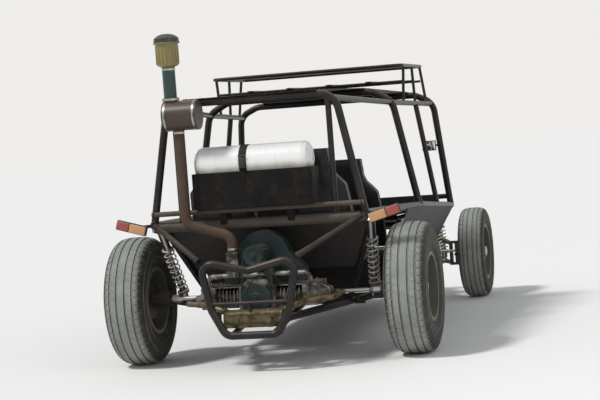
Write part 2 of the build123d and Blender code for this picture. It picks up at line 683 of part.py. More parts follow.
TIN_THICK = 4.0
TIN_TOP_Z = HEAD_Z[1] + TIN_THICK
tin = box((-HEAD_X[1], HEAD_X[1]), HEAD_Y, (HEAD_Z[1] - LAP, TIN_TOP_Z))
PULLEY_Y = (ENGINE_FROM_Y - 26.0, ENGINE_FROM_Y - 6.0)
CRANK_PULLEY_R = 85.0
CRANK_R = 24.0
crank_pulley = joined(
    along_y(*PULLEY_Y, CRANK_PULLEY_R, 0, TRANSAXLE_Z),
    along_y(PULLEY_Y[1] - LAP, ENGINE_FROM_Y + LAP, CRANK_R, 0, TRANSAXLE_Z))

CARB_X = -140.0
CARB_Y = ENGINE_FROM_Y + 65.0
CARB_TOP_Z = 668.0
CARB_HALF = 34.0
CARB_WAIST_HALF = 24.0
CARB_WAIST_Z = (560.0, 585.0)
MANIFOLD_X = 300.0
MANIFOLD_Z = 530.0
MANIFOLD_R = 16.0
MANIFOLD_BEND = 40.0
manifold = tube([
    (-MANIFOLD_X, CARB_Y, HEAD_Z[1]), (-MANIFOLD_X, CARB_Y, MANIFOLD_Z),
    (MANIFOLD_X, CARB_Y, MANIFOLD_Z), (MANIFOLD_X, CARB_Y, HEAD_Z[1])],
    MANIFOLD_R, MANIFOLD_BEND)
carburettor = joined(
    box(around(CARB_X, CARB_HALF), around(CARB_Y, CARB_HALF), (CARB_WAIST_Z[1], CARB_TOP_Z)),
    box(around(CARB_X, CARB_WAIST_HALF), around(CARB_Y, CARB_WAIST_HALF),
        (CARB_WAIST_Z[0] - LAP, CARB_WAIST_Z[1] + LAP)),
    box(around(CARB_X, CARB_HALF), around(CARB_Y, CARB_HALF), (MANIFOLD_Z, CARB_WAIST_Z[0])))
ALTERNATOR_Z = 642.0
ALTERNATOR_R = 56.0
STAND_HALF = 34.0
STAND_Y = (CARB_Y + 40.0, CARB_Y + 100.0)
STAND_CRADLE = 12.0
STAND_FOOT = 13.0
stand = box((-STAND_HALF, STAND_HALF), STAND_Y,
            (TRANSAXLE_Z + CASE[-1][1] - STAND_FOOT, ALTERNATOR_Z - ALTERNATOR_R + STAND_CRADLE))
engine = joined(crankcase, *both(*engine_side), tin, crank_pulley, manifold, carburettor, stand)

DUCT_R = 30.0
DUCT_X = -395.0
DUCT_BEND = 70.0
DUCT_LOW_RISE = 170.0
DUCT_END_RISE = 90.0
intake_duct = coped(tube([
    (DUCT_X, INTAKE_Y, CANISTER_Z), (DUCT_X, INTAKE_Y, CARB_TOP_Z + DUCT_LOW_RISE),
    (CARB_X, CARB_Y, CARB_TOP_Z + DUCT_END_RISE), (CARB_X, CARB_Y, CARB_TOP_Z + SEAT_GAP),
], DUCT_R, DUCT_BEND), air_cleaner)

# Fan housing, alternator, its pulley and the belt
FAN_Y = (CYLINDER_YS[0] - 32.0, CYLINDER_YS[0] + 58.0)
HOUSING_HALF = 240.0
HOUSING_SIDE_TALL = 80.0
HOUSING_TOP_R = 150.0
HOUSING_TOP_DROP = 20.0
ALTERNATOR_FROM_Y = ENGINE_FROM_Y + 20.0
ALTERNATOR_SHAFT_R = 12.0
ALTERNATOR_PULLEY_R = 56.0
housing_low = TIN_TOP_Z + SEAT_GAP
housing = extruded_y(mirrored_plan([
    (HOUSING_HALF, housing_low), (HOUSING_HALF, housing_low + HOUSING_SIDE_TALL),
    (HOUSING_TOP_R, ALTERNATOR_Z)]), *FAN_Y)
cooling_fan = coped(joined(
    housing, along_y(*FAN_Y, HOUSING_TOP_R, 0, ALTERNATOR_Z - HOUSING_TOP_DROP),
    along_y(ALTERNATOR_FROM_Y, FAN_Y[0] + LAP, ALTERNATOR_R, 0, ALTERNATOR_Z),
    along_y(PULLEY_Y[1] - LAP, ALTERNATOR_FROM_Y + LAP, ALTERNATOR_SHAFT_R, 0, ALTERNATOR_Z),
    along_y(*PULLEY_Y, ALTERNATOR_PULLEY_R, 0, ALTERNATOR_Z)), engine)
BELT_THICK = 6.0
BELT_INSET = 4.0


def belt_outline(extra):
    """The belt's run round both pulleys, as a face."""
    circles = [
        Pos(0, TRANSAXLE_Z) * Circle(CRANK_PULLEY_R + extra),
        Pos(0, ALTERNATOR_Z) * Circle(ALTERNATOR_PULLEY_R + extra),
    ]
    return make_hull([edge for circle in circles for edge in circle.edges()])


belt_y = (PULLEY_Y[0] + BELT_INSET, PULLEY_Y[1] - BELT_INSET)
belt_face = belt_outline(SEAT_GAP + BELT_THICK) - belt_outline(SEAT_GAP)
belt_face = Plane(origin=(0, belt_y[1], 0), x_dir=(1, 0, 0), z_dir=(0, -1, 0)) * belt_face
fan_belt = extrude(belt_face, belt_y[1] - belt_y[0], dir=(0, -1, 0)).solid()

# Exhaust: a cross muffler, a pipe from each port, the front ones running outside the heads
MUFFLER_R = 52.0
MUFFLER_HALF = 170.0
MUFFLER_Y = GUARD_Y + 83.0
MUFFLER_Z = 300.0
MUFFLER_INSIDE = 30.0
MUFFLER_INLET_RISE = 30.0
PIPE_R = 19.0
FRONT_PIPE_R = 16.0
PIPE_BEND = 60.0
PORT_X = 300.0
PORT_Z = 384.0
PORT_RUN = 70.0
OUTER_PIPE_X = 425.0
FRONT_PIPE_AHEAD = 44.0
TAIL_PIPE_X = 100.0
TAIL_PIPE_R = 18.0
TAIL_PIPE_SHORT = 4.0
rear_run = ((PORT_X, HEAD_Y[0] - SEAT_GAP, PORT_Z), (PORT_X, HEAD_Y[0] - PORT_RUN, PORT_Z),
            (MUFFLER_HALF - MUFFLER_INSIDE, MUFFLER_Y, MUFFLER_Z + MUFFLER_INLET_RISE))
rear_pipe = tube(rear_run, PIPE_R, PIPE_BEND)
front_pipe = tube([
    (PORT_X, HEAD_Y[1] + SEAT_GAP, PORT_Z), (PORT_X, HEAD_Y[1] + FRONT_PIPE_AHEAD, PORT_Z),
    (OUTER_PIPE_X, HEAD_Y[1] + FRONT_PIPE_AHEAD, PORT_Z), (OUTER_PIPE_X, HEAD_Y[0], PORT_Z),
    on_bend(*rear_run, PIPE_BEND)], FRONT_PIPE_R, TIGHT_BEND)
muffler = along_x(-MUFFLER_HALF, MUFFLER_HALF, MUFFLER_R, MUFFLER_Y, MUFFLER_Z)
tail_pipe = along_y(TAIL_PIPE_SHORT - LENGTH / 2, MUFFLER_Y, TAIL_PIPE_R, TAIL_PIPE_X, MUFFLER_Z)
exhaust = joined(muffler, tail_pipe, *both(rear_pipe), *both(front_pipe))

# Transaxle with output flanges and feet on the skid bars
# Half section, forwards: distance from the engine's face, radius
GEARBOX = ((0.0, 0.0), (0.0, 150.0), (30.0, 150.0), (60.0, 112.0), (170.0, 96.0), (220.0, 80.0),
           (440.0, 74.0), (450.0, 55.0), (490.0, 48.0), (490.0, 0.0))
DIFF_R = 92.0
DIFF_HALF = 96.0
FLANGE_R = 48.0
FLANGE_HALF = 140.0
FOOT_HALF = 26.0
FOOT_Y = (REAR_AXLE_Y + 105.0, REAR_AXLE_Y + 145.0)
EAR_Z = (TRANSAXLE_Z - 40.0, TRANSAXLE_Z - 20.0)
gearbox = turned_y([(TRANSAXLE_FROM_Y + ahead, radius) for ahead, radius in GEARBOX],
                   0, TRANSAXLE_Z)
ears = box((-SKID_X - FOOT_HALF, SKID_X + FOOT_HALF), FOOT_Y, EAR_Z)
feet = [coped(box(around(x, FOOT_HALF), FOOT_Y, (FLOOR_Z, EAR_Z[1])), *skid_bars)
        for x in (-SKID_X, SKID_X)]
transaxle = joined(
    gearbox, along_x(-DIFF_HALF, DIFF_HALF, DIFF_R, REAR_AXLE_Y, AXLE_Z),
    along_x(-FLANGE_HALF, FLANGE_HALF, FLANGE_R, REAR_AXLE_Y, AXLE_Z), ears, *feet)

# Rear suspension arms with hub carriers
CARRIER_X = (REAR_TRACK / 2 - 190.0, REAR_TRACK / 2 - 74.0)
CARRIER_R = 44.0
CARRIER_BORE = 22.0
PLATE_R = 112.0
PLATE_THICK = 6.0
ARM_R = 19.0
PIVOT_R = 25.0
PIVOT_PAST = 20.0
ARM_END_IN = 45.0
OUTER_PIVOT = (COCKPIT_HALF + 50.0, WIDE_FROM_Y + 10.0, FLOOR_Z)
INNER_PIVOT_Y = REAR_AXLE_Y + 220.0
inner_pivot = (rail_x(INNER_PIVOT_Y) + 45.0, INNER_PIVOT_Y, FLOOR_Z)
arm_end = (CARRIER_X[0] + ARM_END_IN, REAR_AXLE_Y, AXLE_Z)
rear_arm = joined(
    along_x(*CARRIER_X, CARRIER_R, REAR_AXLE_Y, AXLE_Z),
    along_x(CARRIER_X[1] - LAP, CARRIER_X[1] + PLATE_THICK, PLATE_R, REAR_AXLE_Y, AXLE_Z),
    bar(OUTER_PIVOT, arm_end, ARM_R), bar(inner_pivot, arm_end, ARM_R),
    along_x(COCKPIT_HALF, OUTER_PIVOT[0] + PIVOT_PAST, PIVOT_R, OUTER_PIVOT[1], FLOOR_Z),
    along_x(rail_x(INNER_PIVOT_Y), inner_pivot[0] + PIVOT_PAST, PIVOT_R, INNER_PIVOT_Y, FLOOR_Z))
carrier_bore = along_x(CARRIER_X[0] - ARM_END_IN, CARRIER_X[1] + 2 * PLATE_THICK,
                       CARRIER_BORE, REAR_AXLE_Y, AXLE_Z)
rear_arm = coped(rear_arm, floor_rail, carrier_bore)
rear_arms = both(rear_arm)

# Shock absorbers: a damper's body and rod with a spring coiled round them
EYE_R = 13.0
DAMPER_R = 24.0
COIL_R = 36.0
COIL_ROOT_R = 27.0
COIL_COUNT = 7
SPRING_FROM = 0.14
SPRING_TO = 0.66
DAMPER_TO = 0.88


def shock(low, high):
    """A spring and damper between two points, its coils as turned ribs."""
    low, high = Vector(*low), Vector(*high)
    length = (high - low).length
    pitch = (SPRING_TO - SPRING_FROM) / COIL_COUNT
    outline = [(0.0, 0.0), (0.0, EYE_R), (SPRING_FROM, EYE_R), (SPRING_FROM, COIL_ROOT_R)]
    for number in range(COIL_COUNT):
        outline += [(SPRING_FROM + pitch * (number + 0.5), COIL_R),
                    (SPRING_FROM + pitch * (number + 1), COIL_ROOT_R)]
    outline += [(SPRING_TO, DAMPER_R), (DAMPER_TO, DAMPER_R), (DAMPER_TO, EYE_R), (1.0, EYE_R),
                (1.0, 0.0)]
    solid = turned_z([(share * length, radius) for share, radius in outline])
    return solid.moved(Plane(origin=low, z_dir=high - low).location)


SHOCK_TOP_Y = REAR_AXLE_Y - 160.0
REAR_SHOCK_SHARE = 0.5
shock_foot = line_at(inner_pivot, arm_end, REAR_SHOCK_SHARE)
rear_shock = coped(shock(shock_foot, waist_at(SHOCK_TOP_Y)), rear_arm, waist_rail)

# Kingpins and what is set out from them
HUB_Z = FRONT_TYRE_R
KINGPIN_X = FRONT_TRACK / 2 - 130.0
KINGPIN_R = 11.0
POST_X = (KINGPIN_X - 65.0, KINGPIN_X - 43.0)
LUG_TO_X = KINGPIN_X + 24.0

# Front axle beam of two tubes with clamps and shock towers
BEAM_Y = FRONT_AXLE_Y + 160.0
FRONT_BEAM_ZS = (265.0, 430.0)
FRONT_BEAM_R = 28.0
FRONT_BEAM_HALF = KINGPIN_X - 185.0
PLATE_PAST = 38.0
CLAMP_THICK = 8.0
TOWER_X = (FRONT_BEAM_HALF - 28.0, FRONT_BEAM_HALF - 20.0)
TOWER_TOP_Z = 650.0
TOWER_HEAD_HALF = 24.0
TOWER_PIN_Y = BEAM_Y + 20.0
TOWER_PIN_R = 10.0
TOWER_PIN_LONG = 74.0
SHOCK_ON_PIN = 40.0
clamp_from = NOSE_HALF + MAIN_R + SEAT_GAP
plate_y = around(BEAM_Y, PLATE_PAST)
plate_z = (FRONT_BEAM_ZS[0] - PLATE_PAST, FRONT_BEAM_ZS[1] + PLATE_PAST)
clamp = box((clamp_from, clamp_from + CLAMP_THICK), plate_y, plate_z)
tower = extruded_x([
    (plate_y[0], plate_z[0]), (plate_y[1], plate_z[0]), (plate_y[1], FRONT_BEAM_ZS[1]),
    (TOWER_PIN_Y + TOWER_HEAD_HALF, TOWER_TOP_Z), (TOWER_PIN_Y - TOWER_HEAD_HALF, TOWER_TOP_Z),
    (plate_y[0], FRONT_BEAM_ZS[1])], *TOWER_X)
tower_pin_z = TOWER_TOP_Z - TOWER_HEAD_HALF
tower_pin = along_x(TOWER_X[0], TOWER_X[1] + TOWER_PIN_LONG, TOWER_PIN_R, TOWER_PIN_Y, tower_pin_z)
beam_tubes = [along_x(-FRONT_BEAM_HALF, FRONT_BEAM_HALF, FRONT_BEAM_R, BEAM_Y, z)
              for z in FRONT_BEAM_ZS]
front_beam = joined(*beam_tubes, *both(clamp), *both(tower), *both(tower_pin))

# Front arms with kingpin carriers
CARRIER_Z = around(HUB_Z, 88.0)
LUG_THICK = 17.0
LUG_HALF = 21.0
FRONT_ARM_R = 16.0
BOSS_LONG = 45.0
BOSS_R = FRONT_BEAM_R + 2.0
ARM_ROOT_IN = 20.0
ARM_TIP_AHEAD = 8.0
ARM_TIP_IN = 18.0
FRONT_SHOCK_SHARE = 0.4
lug_x = (POST_X[0], LUG_TO_X)
lug_y = around(FRONT_AXLE_Y, LUG_HALF)
boss_x = (FRONT_BEAM_HALF + SEAT_GAP, FRONT_BEAM_HALF + BOSS_LONG)
kingpin = along_z(*CARRIER_Z, KINGPIN_R, KINGPIN_X, FRONT_AXLE_Y)
arm_ends = [
    ((boss_x[1] - ARM_ROOT_IN, BEAM_Y, root_z),
     (sum(POST_X) / 2, FRONT_AXLE_Y + ARM_TIP_AHEAD, tip_z))
    for root_z, tip_z in zip(FRONT_BEAM_ZS, (CARRIER_Z[0] + ARM_TIP_IN, CARRIER_Z[1] - ARM_TIP_IN))]
front_arm = joined(
    box(POST_X, lug_y, CARRIER_Z),
    box(lug_x, lug_y, (CARRIER_Z[1] - LUG_THICK, CARRIER_Z[1])),
    box(lug_x, lug_y, (CARRIER_Z[0], CARRIER_Z[0] + LUG_THICK)), kingpin,
    *[bar(root, tip, FRONT_ARM_R) for root, tip in arm_ends],
    *[along_x(*boss_x, BOSS_R, BEAM_Y, z) for z in FRONT_BEAM_ZS])
front_arms = both(front_arm)
front_shock = coped(
    shock(line_at(*arm_ends[0], FRONT_SHOCK_SHARE),
          (TOWER_X[1] + SHOCK_ON_PIN, TOWER_PIN_Y, tower_pin_z)), front_arm, front_beam)
shock_absorbers = [*both(rear_shock), *both(front_shock)]

# Knuckles: barrel on the kingpin, brake plate, spindle, steering arm with the rod's pin
STEER_ARM = 110.0
STEER_ARM_HALF = 13.0
STEER_ARM_Z = (HUB_Z - 9.0, HUB_Z + 5.0)
STEER_EYE_R = 17.0
ROD_Z = HUB_Z + 25.0
ROD_PIN_R = 6.0
ROD_PIN_OVER = 14.0
BARREL_R = 27.0
BARREL_GAP = 2.0
AXLE_BOSS_R = 24.0
DRUM_R = 115.0
DRUM_X = FRONT_TRACK / 2 - 50.0
SPINDLE_R = 15.0
SPINDLE_TO_X = FRONT_TRACK / 2 + 20.0
barrel_z = (CARRIER_Z[0] + LUG_THICK + BARREL_GAP, CARRIER_Z[1] - LUG_THICK - BARREL_GAP)
plate_x = (DRUM_X - RUNNING_GAP - PLATE_THICK, DRUM_X - RUNNING_GAP)
eye_y = FRONT_AXLE_Y - STEER_ARM
knuckle = coped(joined(
    along_z(*barrel_z, BARREL_R, KINGPIN_X, FRONT_AXLE_Y),
    along_x(KINGPIN_X, plate_x[1], AXLE_BOSS_R, FRONT_AXLE_Y, HUB_Z),
    along_x(*plate_x, PLATE_R, FRONT_AXLE_Y, HUB_Z),
    along_x(plate_x[1] - LAP, SPINDLE_TO_X, SPINDLE_R, FRONT_AXLE_Y, HUB_Z),
    box(around(KINGPIN_X, STEER_ARM_HALF), (eye_y, FRONT_AXLE_Y), STEER_ARM_Z),
    along_z(*STEER_ARM_Z, STEER_EYE_R, KINGPIN_X, eye_y),
    along_z(STEER_ARM_Z[1] - LAP, ROD_Z + ROD_PIN_OVER, ROD_PIN_R, KINGPIN_X, eye_y)),
    along_z(*CARRIER_Z, KINGPIN_R + PIN_GAP, KINGPIN_X, FRONT_AXLE_Y))

# Steering rack, its bar and the tie rods
RACK_PIN_X = 385.0
RACK_DRIFT = 6.0
RACK_Y = eye_y + RACK_DRIFT
RACK_HOUSING_X = (-300.0, 240.0)
RACK_HOUSING_R = 24.0
RACK_BAR_R = 11.0
SADDLE_HALF = 24.0
SADDLE_HALF_DEEP = 22.0
WHEEL_CENTRE = Vector(-280.0, FRONT_HOOP_Y - 240.0, 850.0)
PINION = Vector(WHEEL_CENTRE.X, RACK_Y, ROD_Z)
PINION_HOUSING_R = 19.0
PINION_HOUSING_LONG = 58.0
column = (WHEEL_CENTRE - PINION).normalized()
saddles = [box(around(x, SADDLE_HALF), around(RACK_Y, SADDLE_HALF_DEEP), (FLOOR_Z, ROD_Z))
           for x in (-NOSE_HALF, NOSE_HALF)]
steering_rack = coped(joined(
    along_x(*RACK_HOUSING_X, RACK_HOUSING_R, RACK_Y, ROD_Z),
    bar(PINION, PINION + column * PINION_HOUSING_LONG, PINION_HOUSING_R), *saddles),
    *floor_rails, along_x(-RACK_PIN_X, RACK_PIN_X, RACK_BAR_R + PIN_GAP, RACK_Y, ROD_Z))

# Link under each end of the rack bar, carrying the pin of a tie rod's inner eye
EYE_HALF = 9.0
LINK_IN = 29.0
LINK_HALF = 11.0
LINK_THICK = 11.0
LINK_EYE_R = 15.0
LINK_PIN_R = 5.0
LINK_PIN_OVER = 13.0
BAR_PAST = 3.0
link_x = (RACK_PIN_X - LINK_IN, RACK_PIN_X)
link_top = ROD_Z - EYE_HALF - LAP
link_z = (link_top - LINK_THICK, link_top)
rack_bar = joined(
    along_x(-link_x[0] - BAR_PAST, link_x[0] + BAR_PAST, RACK_BAR_R, RACK_Y, ROD_Z),
    *both(box(link_x, around(RACK_Y, LINK_HALF), link_z)),
    *both(along_z(*link_z, LINK_EYE_R, RACK_PIN_X, RACK_Y)),
    *both(along_z(link_top - LAP, ROD_Z + LINK_PIN_OVER, LINK_PIN_R, RACK_PIN_X, RACK_Y)))

ROD_R = 8.0
ROD_LAP = 3.0
INNER_EYE_R = 21.0
INNER_EYE_BORE = 13.0
OUTER_EYE_R = 15.0
eye_z = around(ROD_Z, EYE_HALF)
bore_z = around(ROD_Z, 2 * EYE_HALF)
tie_rod = coped(joined(
    along_z(*eye_z, OUTER_EYE_R, KINGPIN_X, eye_y),
    along_x(RACK_PIN_X + INNER_EYE_BORE + ROD_LAP, KINGPIN_X - ROD_PIN_R - ROD_LAP,
            ROD_R, eye_y, ROD_Z),
    along_z(*eye_z, INNER_EYE_R, RACK_PIN_X, eye_y)),
    along_z(*bore_z, ROD_PIN_R + PIN_GAP, KINGPIN_X, eye_y),
    along_z(*bore_z, INNER_EYE_BORE, RACK_PIN_X, eye_y))

# Steering wheel with its column
STEER_R = 170.0
STEER_RIM_R = 13.0
STEER_HUB_R = 30.0
STEER_HUB_Z = (-30.0, 12.0)
COLUMN_R = 9.0
COLUMN_TO = 25.0
SPOKE_R = 7.0
SPOKE_FROM = 0.1
SPOKE_ANGLES = (90.0, 210.0, 330.0)
spokes = []
for angle in SPOKE_ANGLES:
    tip = Vector(cos(radians(angle)) * STEER_R, sin(radians(angle)) * STEER_R, 0)
    spokes.append(bar(tip * SPOKE_FROM, tip, SPOKE_R))
steer_local = joined(Solid.make_torus(STEER_R, STEER_RIM_R), *spokes,
                     along_z(*STEER_HUB_Z, STEER_HUB_R, 0, 0))
wheel_plane = Plane(origin=WHEEL_CENTRE, x_dir=(1, 0, 0), z_dir=column)
column_foot = PINION + column * (PINION_HOUSING_LONG + BARREL_GAP)
steering_wheel = joined(steer_local.moved(wheel_plane.location),
                        bar(column_foot, WHEEL_CENTRE - column * COLUMN_TO, COLUMN_R))

# Dash panel with gauges and the column's bracket
DASH_HALF = 640.0
DASH_Z = (DASH_TUBE_Z - 65.0, DASH_TUBE_Z + 16.0)
# Gauges on the dash: place across, radius
GAUGES = ((-400.0, 30.0), (-280.0, 34.0), (-160.0, 30.0))
GAUGE_DEEP = 22.0
GAUGE_DROP = 24.0
BRACKET_HALF = 22.0
BRACKET_UNDER = 26.0
BRACKET_INTO_DASH = 20.0
BRACKET_PAST = 10.0
COLUMN_GAP = 1.0
dash_face_y = dash_y - SIDE_R - SEAT_GAP - PANEL
column_at_dash = PINION + column * ((dash_y - PINION.Y) / column.Y)
bracket = box(around(WHEEL_CENTRE.X, BRACKET_HALF), (dash_face_y, dash_y + BRACKET_PAST),
              (column_at_dash.Z - BRACKET_UNDER, DASH_Z[0] + BRACKET_INTO_DASH))
gauges = [along_y(dash_face_y - GAUGE_DEEP, dash_face_y + LAP, radius, x, DASH_TUBE_Z - GAUGE_DROP)
          for x, radius in GAUGES]
dash_sheet = box((-DASH_HALF, DASH_HALF), (dash_face_y, dash_face_y + PANEL), DASH_Z)
dash_panel = coped(joined(dash_sheet, coped(bracket, dash_tube), *gauges),
                   bar(PINION, WHEEL_CENTRE, COLUMN_R + COLUMN_GAP))

# Wheels: rim with its disc, drum and hub cap
RIM_WALL = 10.0
FLANGE_TALL = 13.0
FLANGE_THICK = 8.0
DISC_THICK = 8.0
DISC_OUT = 28.0
HUB_CAP_R = 46.0
HUB_CAP_TAPER = 10.0
HUB_CAP_OUT = 42.0
DISC_RAISED_R = 66.0
DISC_ROOT_R = 80.0
WINDOW_COUNT = 8
WINDOW_R = 19.0
WINDOW_AT_R = 147.0
REAR_RIM_HALF = 98.0
FRONT_RIM_HALF = 72.0
REAR_DRUM_X = CARRIER_X[1] + PLATE_THICK + RUNNING_GAP


def rim(track, rim_half, drum_x):
    """A rim with disc, drum and hub cap, centred on the Y and Z of its axle."""
    middle = track / 2
    bore_r = RIM_R - RIM_WALL
    edge = rim_half + FLANGE_THICK
    flange_r = RIM_R + FLANGE_TALL
    disc = middle + DISC_OUT
    wheel = turned([
        (drum_x, 0), (drum_x, DRUM_R), (disc, DRUM_R), (disc, bore_r), (middle - edge, bore_r),
        (middle - edge, flange_r), (middle - rim_half, flange_r), (middle - rim_half, RIM_R),
        (middle + rim_half, RIM_R), (middle + rim_half, flange_r), (middle + edge, flange_r),
        (middle + edge, bore_r), (disc + DISC_THICK, bore_r), (disc + DISC_THICK, DISC_ROOT_R),
        (disc + 2 * DISC_THICK, DISC_RAISED_R), (disc + 2 * DISC_THICK, HUB_CAP_R),
        (disc + HUB_CAP_OUT, HUB_CAP_R - HUB_CAP_TAPER), (disc + HUB_CAP_OUT, 0),
    ], 0, 0)
    for number in range(WINDOW_COUNT):
        angle = 2 * pi * (number + 0.5) / WINDOW_COUNT
        y, z = cos(angle) * WINDOW_AT_R, sin(angle) * WINDOW_AT_R
        wheel = coped(wheel, along_x(disc - LAP, disc + DISC_THICK + LAP, WINDOW_R, y, z))
    return wheel


# Tyre's half section over the rim's flange, outwards: share of the half width, share of the wall
TYRE_WALL = ((0.95, 0.18), (1.0, 0.42), (0.985, 0.62), (0.92, 0.8), (0.8, 0.905), (0.6, 0.968),
             (0.3, 1.0))


def tyre(track, radius, width, rim_half):
    """A tyre's round-shouldered ring, centred on the Y and Z of its axle."""
    middle, half = track / 2, width / 2
    bead = rim_half - SEAT_GAP
    low = RIM_R + SEAT_GAP
    wall_r = low + FLANGE_TALL + LAP
    right = [(bead, low), (bead, wall_r)]
    right += [(half * wide, wall_r + (radius - wall_r) * tall) for wide, tall in TYRE_WALL]
    outline = [(middle + x, r) for x, r in right]
    outline += [(middle - x, r) for x, r in reversed(right)]
    return turned(outline, 0, 0)


rear_place = Location((0, REAR_AXLE_Y, AXLE_Z))
front_place = Location((0, FRONT_AXLE_Y, HUB_Z))
rear_wheel = rim(REAR_TRACK, REAR_RIM_HALF, REAR_DRUM_X).moved(rear_place)
rear_tyre = tyre(REAR_TRACK, REAR_TYRE_R, REAR_TYRE_WIDTH, REAR_RIM_HALF).moved(rear_place)
front_wheel = coped(rim(FRONT_TRACK, FRONT_RIM_HALF, DRUM_X).moved(front_place), along_x(
    DRUM_X - LAP, SPINDLE_TO_X + PIN_GAP, SPINDLE_R + PIN_GAP, FRONT_AXLE_Y, HUB_Z))
front_tyre = tyre(FRONT_TRACK, FRONT_TYRE_R, FRONT_TYRE_WIDTH, FRONT_RIM_HALF).moved(front_place)

# Half shafts from the transaxle's flanges to the rear drums
SHAFT_R = 14.0
CUP_R = (46.0, 40.0)
CUP_LONG = 45.0
CUP_BOOT = 80.0
JOINT_R = 24.0
BEARING_R = CARRIER_BORE - PIN_GAP
# Outer joint and bearing, outwards: distance from the carrier's inner face, radius before, after
SHAFT_STEPS = ((-75.0, SHAFT_R, SHAFT_R), (-50.0, JOINT_R, JOINT_R), (-10.0, JOINT_R, SHAFT_R),
               (50.0, SHAFT_R, BEARING_R), (80.0, BEARING_R, SHAFT_R))
cup_x = FLANGE_HALF + RUNNING_GAP
shaft_section = [(cup_x, 0), (cup_x, CUP_R[0]), (cup_x + CUP_LONG, CUP_R[1]),
                 (cup_x + CUP_BOOT, SHAFT_R)]
for out, before, after in SHAFT_STEPS:
    shaft_section.append((CARRIER_X[0] + out, before))
    if after != before:
        shaft_section.append((CARRIER_X[0] + out, after))
shaft_section += [(REAR_DRUM_X, SHAFT_R), (REAR_DRUM_X, 0)]
half_shaft = turned(shaft_section, REAR_AXLE_Y, AXLE_Z)

# Tail lamps on stems, their outer ends raised
LAMP_LONG = 185.0
LAMP_DEEP = 40.0
LAMP_TALL = 58.0
LAMP_TILT = 16.0
LAMP_IN = 40.0
LAMP_BAR_R = 10.0
LAMP_BAR_AHEAD = 30.0
LAMP_BAR_INTO = 6.0
LAMP_CENTRE = Vector(REAR_HOOP[1][0] + 119.0, REAR_HOOP_Y - 70.0, 836.0)
lamp_body = box(around(0, LAMP_LONG / 2), around(0, LAMP_DEEP / 2), around(0, LAMP_TALL / 2))
lamp_body = lamp_body.rotate(Axis.Y, -LAMP_TILT).moved(Location(LAMP_CENTRE))
lamp_foot = LAMP_CENTRE + Vector(LAMP_IN - LAMP_LONG / 2, LAMP_DEEP / 2 - LAMP_BAR_INTO, 0)
lamp_bar = bar(waist_at(REAR_HOOP_Y + LAMP_BAR_AHEAD), lamp_foot, LAMP_BAR_R)
tail_lamps = both(coped(joined(lamp_body, lamp_bar), waist_rail, rear_hoop))

# Headlamps on stems from the nose rails
HEADLAMP_R = 70.0
HEADLAMP_X = 268.0
HEADLAMP_Y = (NOSE_Y - 140.0, NOSE_Y - 60.0)
HEADLAMP_Z = 655.0
HEADLAMP_STEM_R = 9.0
HEADLAMP_STEM_INTO = 30.0
# Half section of the bowl, forwards: share of its depth, share of its radius
HEADLAMP_BOWL = ((0.0, 0.0), (0.0, 0.3), (0.15, 0.56), (0.45, 0.82), (0.78, 1.0), (1.0, 1.0),
                 (1.0, 0.0))
headlamp_deep = HEADLAMP_Y[1] - HEADLAMP_Y[0]
headlamp_foot = nose_rail_at(HEADLAMP_Y[0] + headlamp_deep / 2)
bowl = turned_y([(HEADLAMP_Y[0] + headlamp_deep * ahead, HEADLAMP_R * share)
                 for ahead, share in HEADLAMP_BOWL], HEADLAMP_X, HEADLAMP_Z)
headlamp_stem = bar(headlamp_foot, (HEADLAMP_X, headlamp_foot.Y, HEADLAMP_Z - HEADLAMP_STEM_INTO),
                    HEADLAMP_STEM_R)
headlamps = both(coped(joined(bowl, headlamp_stem), nose_rail))

# Mirrors on stems from the front hoop's pillars
MIRROR_Z = 1143.0
MIRROR_OUTER = 42.0
MIRROR_INNER = 52.0
MIRROR_HALF_TALL = 34.0
MIRROR_HALF_DEEP = 8.0
MIRROR_STEM = Vector(-68.0, -32.0, 0.0)
MIRROR_STEM_R = 7.0
mirror_share = (FRONT_HOOP[1][1] - MIRROR_Z) / (FRONT_HOOP[1][1] - FRONT_HOOP[2][1])
mirror_foot = line_at(front_half[1], front_half[2], mirror_share)
mirror_head = mirror_foot + MIRROR_STEM
mirror_glass = box((mirror_head.X - MIRROR_INNER, mirror_head.X + MIRROR_OUTER),
                   around(mirror_head.Y, MIRROR_HALF_DEEP), around(MIRROR_Z, MIRROR_HALF_TALL))
mirrors = both(coped(joined(bar(mirror_foot, mirror_head, MIRROR_STEM_R), mirror_glass),
                     front_hoop))

# Pedals, gear lever and hand brake on the floor
PEDAL_XS = (-330.0, -255.0, -180.0)
PEDAL_Y = WIDE_TO_Y + 210.0
PEDAL_RISE = 150.0
PEDAL_LEAN = 40.0
PEDAL_FOOT_HALF = (20.0, 25.0)
PEDAL_FOOT_THICK = 10.0
PEDAL_PAD_HALF = (26.0, 30.0)
PEDAL_PAD_THICK = 12.0
PEDAL_STEM_R = 7.0
base_from_z = FLOOR_TOP_Z + SEAT_GAP
pad_y = PEDAL_Y - PEDAL_LEAN


def pedal(x):
    """A foot, a stem and a pad."""
    top = (x, pad_y, base_from_z + PEDAL_RISE)
    return joined(
        box(around(x, PEDAL_FOOT_HALF[0]), around(PEDAL_Y, PEDAL_FOOT_HALF[1]),
            (base_from_z, base_from_z + PEDAL_FOOT_THICK)),
        bar((x, PEDAL_Y, base_from_z + PEDAL_FOOT_THICK / 2), top, PEDAL_STEM_R),
        box(around(x, PEDAL_PAD_HALF[0]), (pad_y - PEDAL_PAD_THICK, pad_y),
            around(top[2], PEDAL_PAD_HALF[1])))


